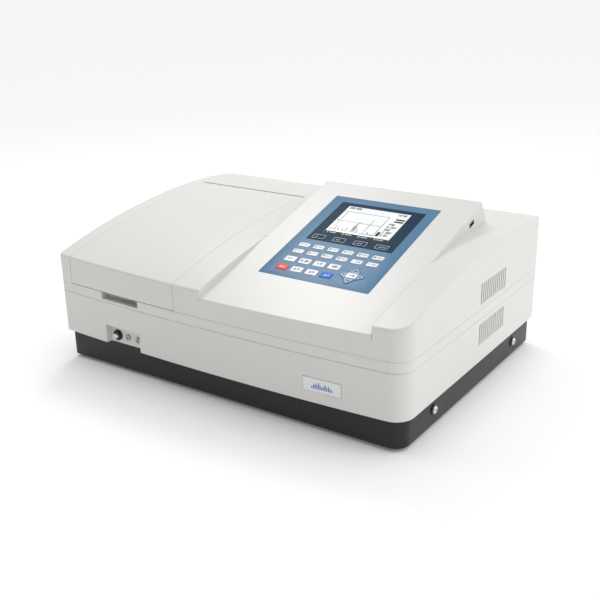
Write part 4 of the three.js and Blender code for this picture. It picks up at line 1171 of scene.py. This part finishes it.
def area_light(name, place, aim, size, power, colour=(1, 1, 1)):
    data = bpy.data.lights.new(name, "AREA")
    data.shape = "RECTANGLE"
    data.size, data.size_y = size
    data.energy = power
    data.color = colour
    light = bpy.data.objects.new(name, data)
    light.location = place
    light.rotation_euler = (Vector(aim) - Vector(place)).to_track_quat("-Z", "Y").to_euler()
    bpy.context.scene.collection.objects.link(light)


def make_studio():
    world = bpy.data.worlds.new("studio")
    bpy.context.scene.world = world
    world.use_nodes = True
    nodes, links = world.node_tree.nodes, world.node_tree.links
    background = nodes["Background"]
    direction = nodes.new("ShaderNodeTexCoord")
    bright_side = nodes.new("ShaderNodeVectorMath")
    bright_side.operation = "DOT_PRODUCT"
    bright_side.inputs[1].default_value = Vector((0.30, 0.50, 0.80)).normalized()
    links.new(direction.outputs["Generated"], bright_side.inputs[0])
    height = nodes.new("ShaderNodeSeparateXYZ")
    links.new(direction.outputs["Generated"], height.inputs["Vector"])

    def graded(source, ramp):
        level = nodes.new("ShaderNodeMapRange")
        for name, value in zip(("From Min", "From Max", "To Min", "To Max"), ramp):
            level.inputs[name].default_value = value
        links.new(source, level.inputs["Value"])
        return level.outputs["Result"]

    total = nodes.new("ShaderNodeMath")
    total.operation = "MAXIMUM"  # a pale horizon all round, and above it the side the light comes from
    links.new(graded(bright_side.outputs["Value"], (-0.25, 0.9, 0.10, 1.23)), total.inputs[0])
    links.new(graded(height.outputs["Z"], (0.045, 0.08, 0.8, 0.0)), total.inputs[1])
    links.new(total.outputs["Value"], background.inputs["Strength"])
    background.inputs["Color"].default_value = (1, 1, 1, 1)
    area_light("key_right", (2.2, 0.6, 1.6), (0.1, 0, 0.1), (1.0, 1.2), 6)
    area_light("glare", (-0.76, 0.66, 1.50), (0.18, -0.1, 0.2), (0.42, 0.42), 5.0)
    area_light("overhead", (-0.9, -0.55, 1.5), (0, -0.1, 0.2), (0.4, 0.4), 1.8)
    floor = box("floor", -90000, 90000, -90000, 90000, -20, -0.2)
    paper = finish("floor_paper", (0.97, 0.97, 0.97), 0.9, grain=0.008, scale=90, bump=0.02, shine=0.0)
    floor.data.materials.append(lit(paper, 0.08, (1, 1, 1)))
    bpy.context.scene.view_settings.view_transform = "Standard"


make_camera()
make_studio()

for node, (width, slot) in CAD_FINISHES.items():
    soften(node, width, slot)
for build, slot, body, node in ((lower_housing, "shell_white", "case", "lower_housing"),
                                (upper_housing, "shell_white", "case", "upper_housing"),
                                (lid, "shell_white", "lid", "sample_lid")):
    piece = build()
    even_normals(piece)
    place(piece, slot, body, [node])
make_base()
make_port()
make_nameplate()
make_overlay()
make_display()
make_keys()
make_navigation()
make_usb()
make_rear()
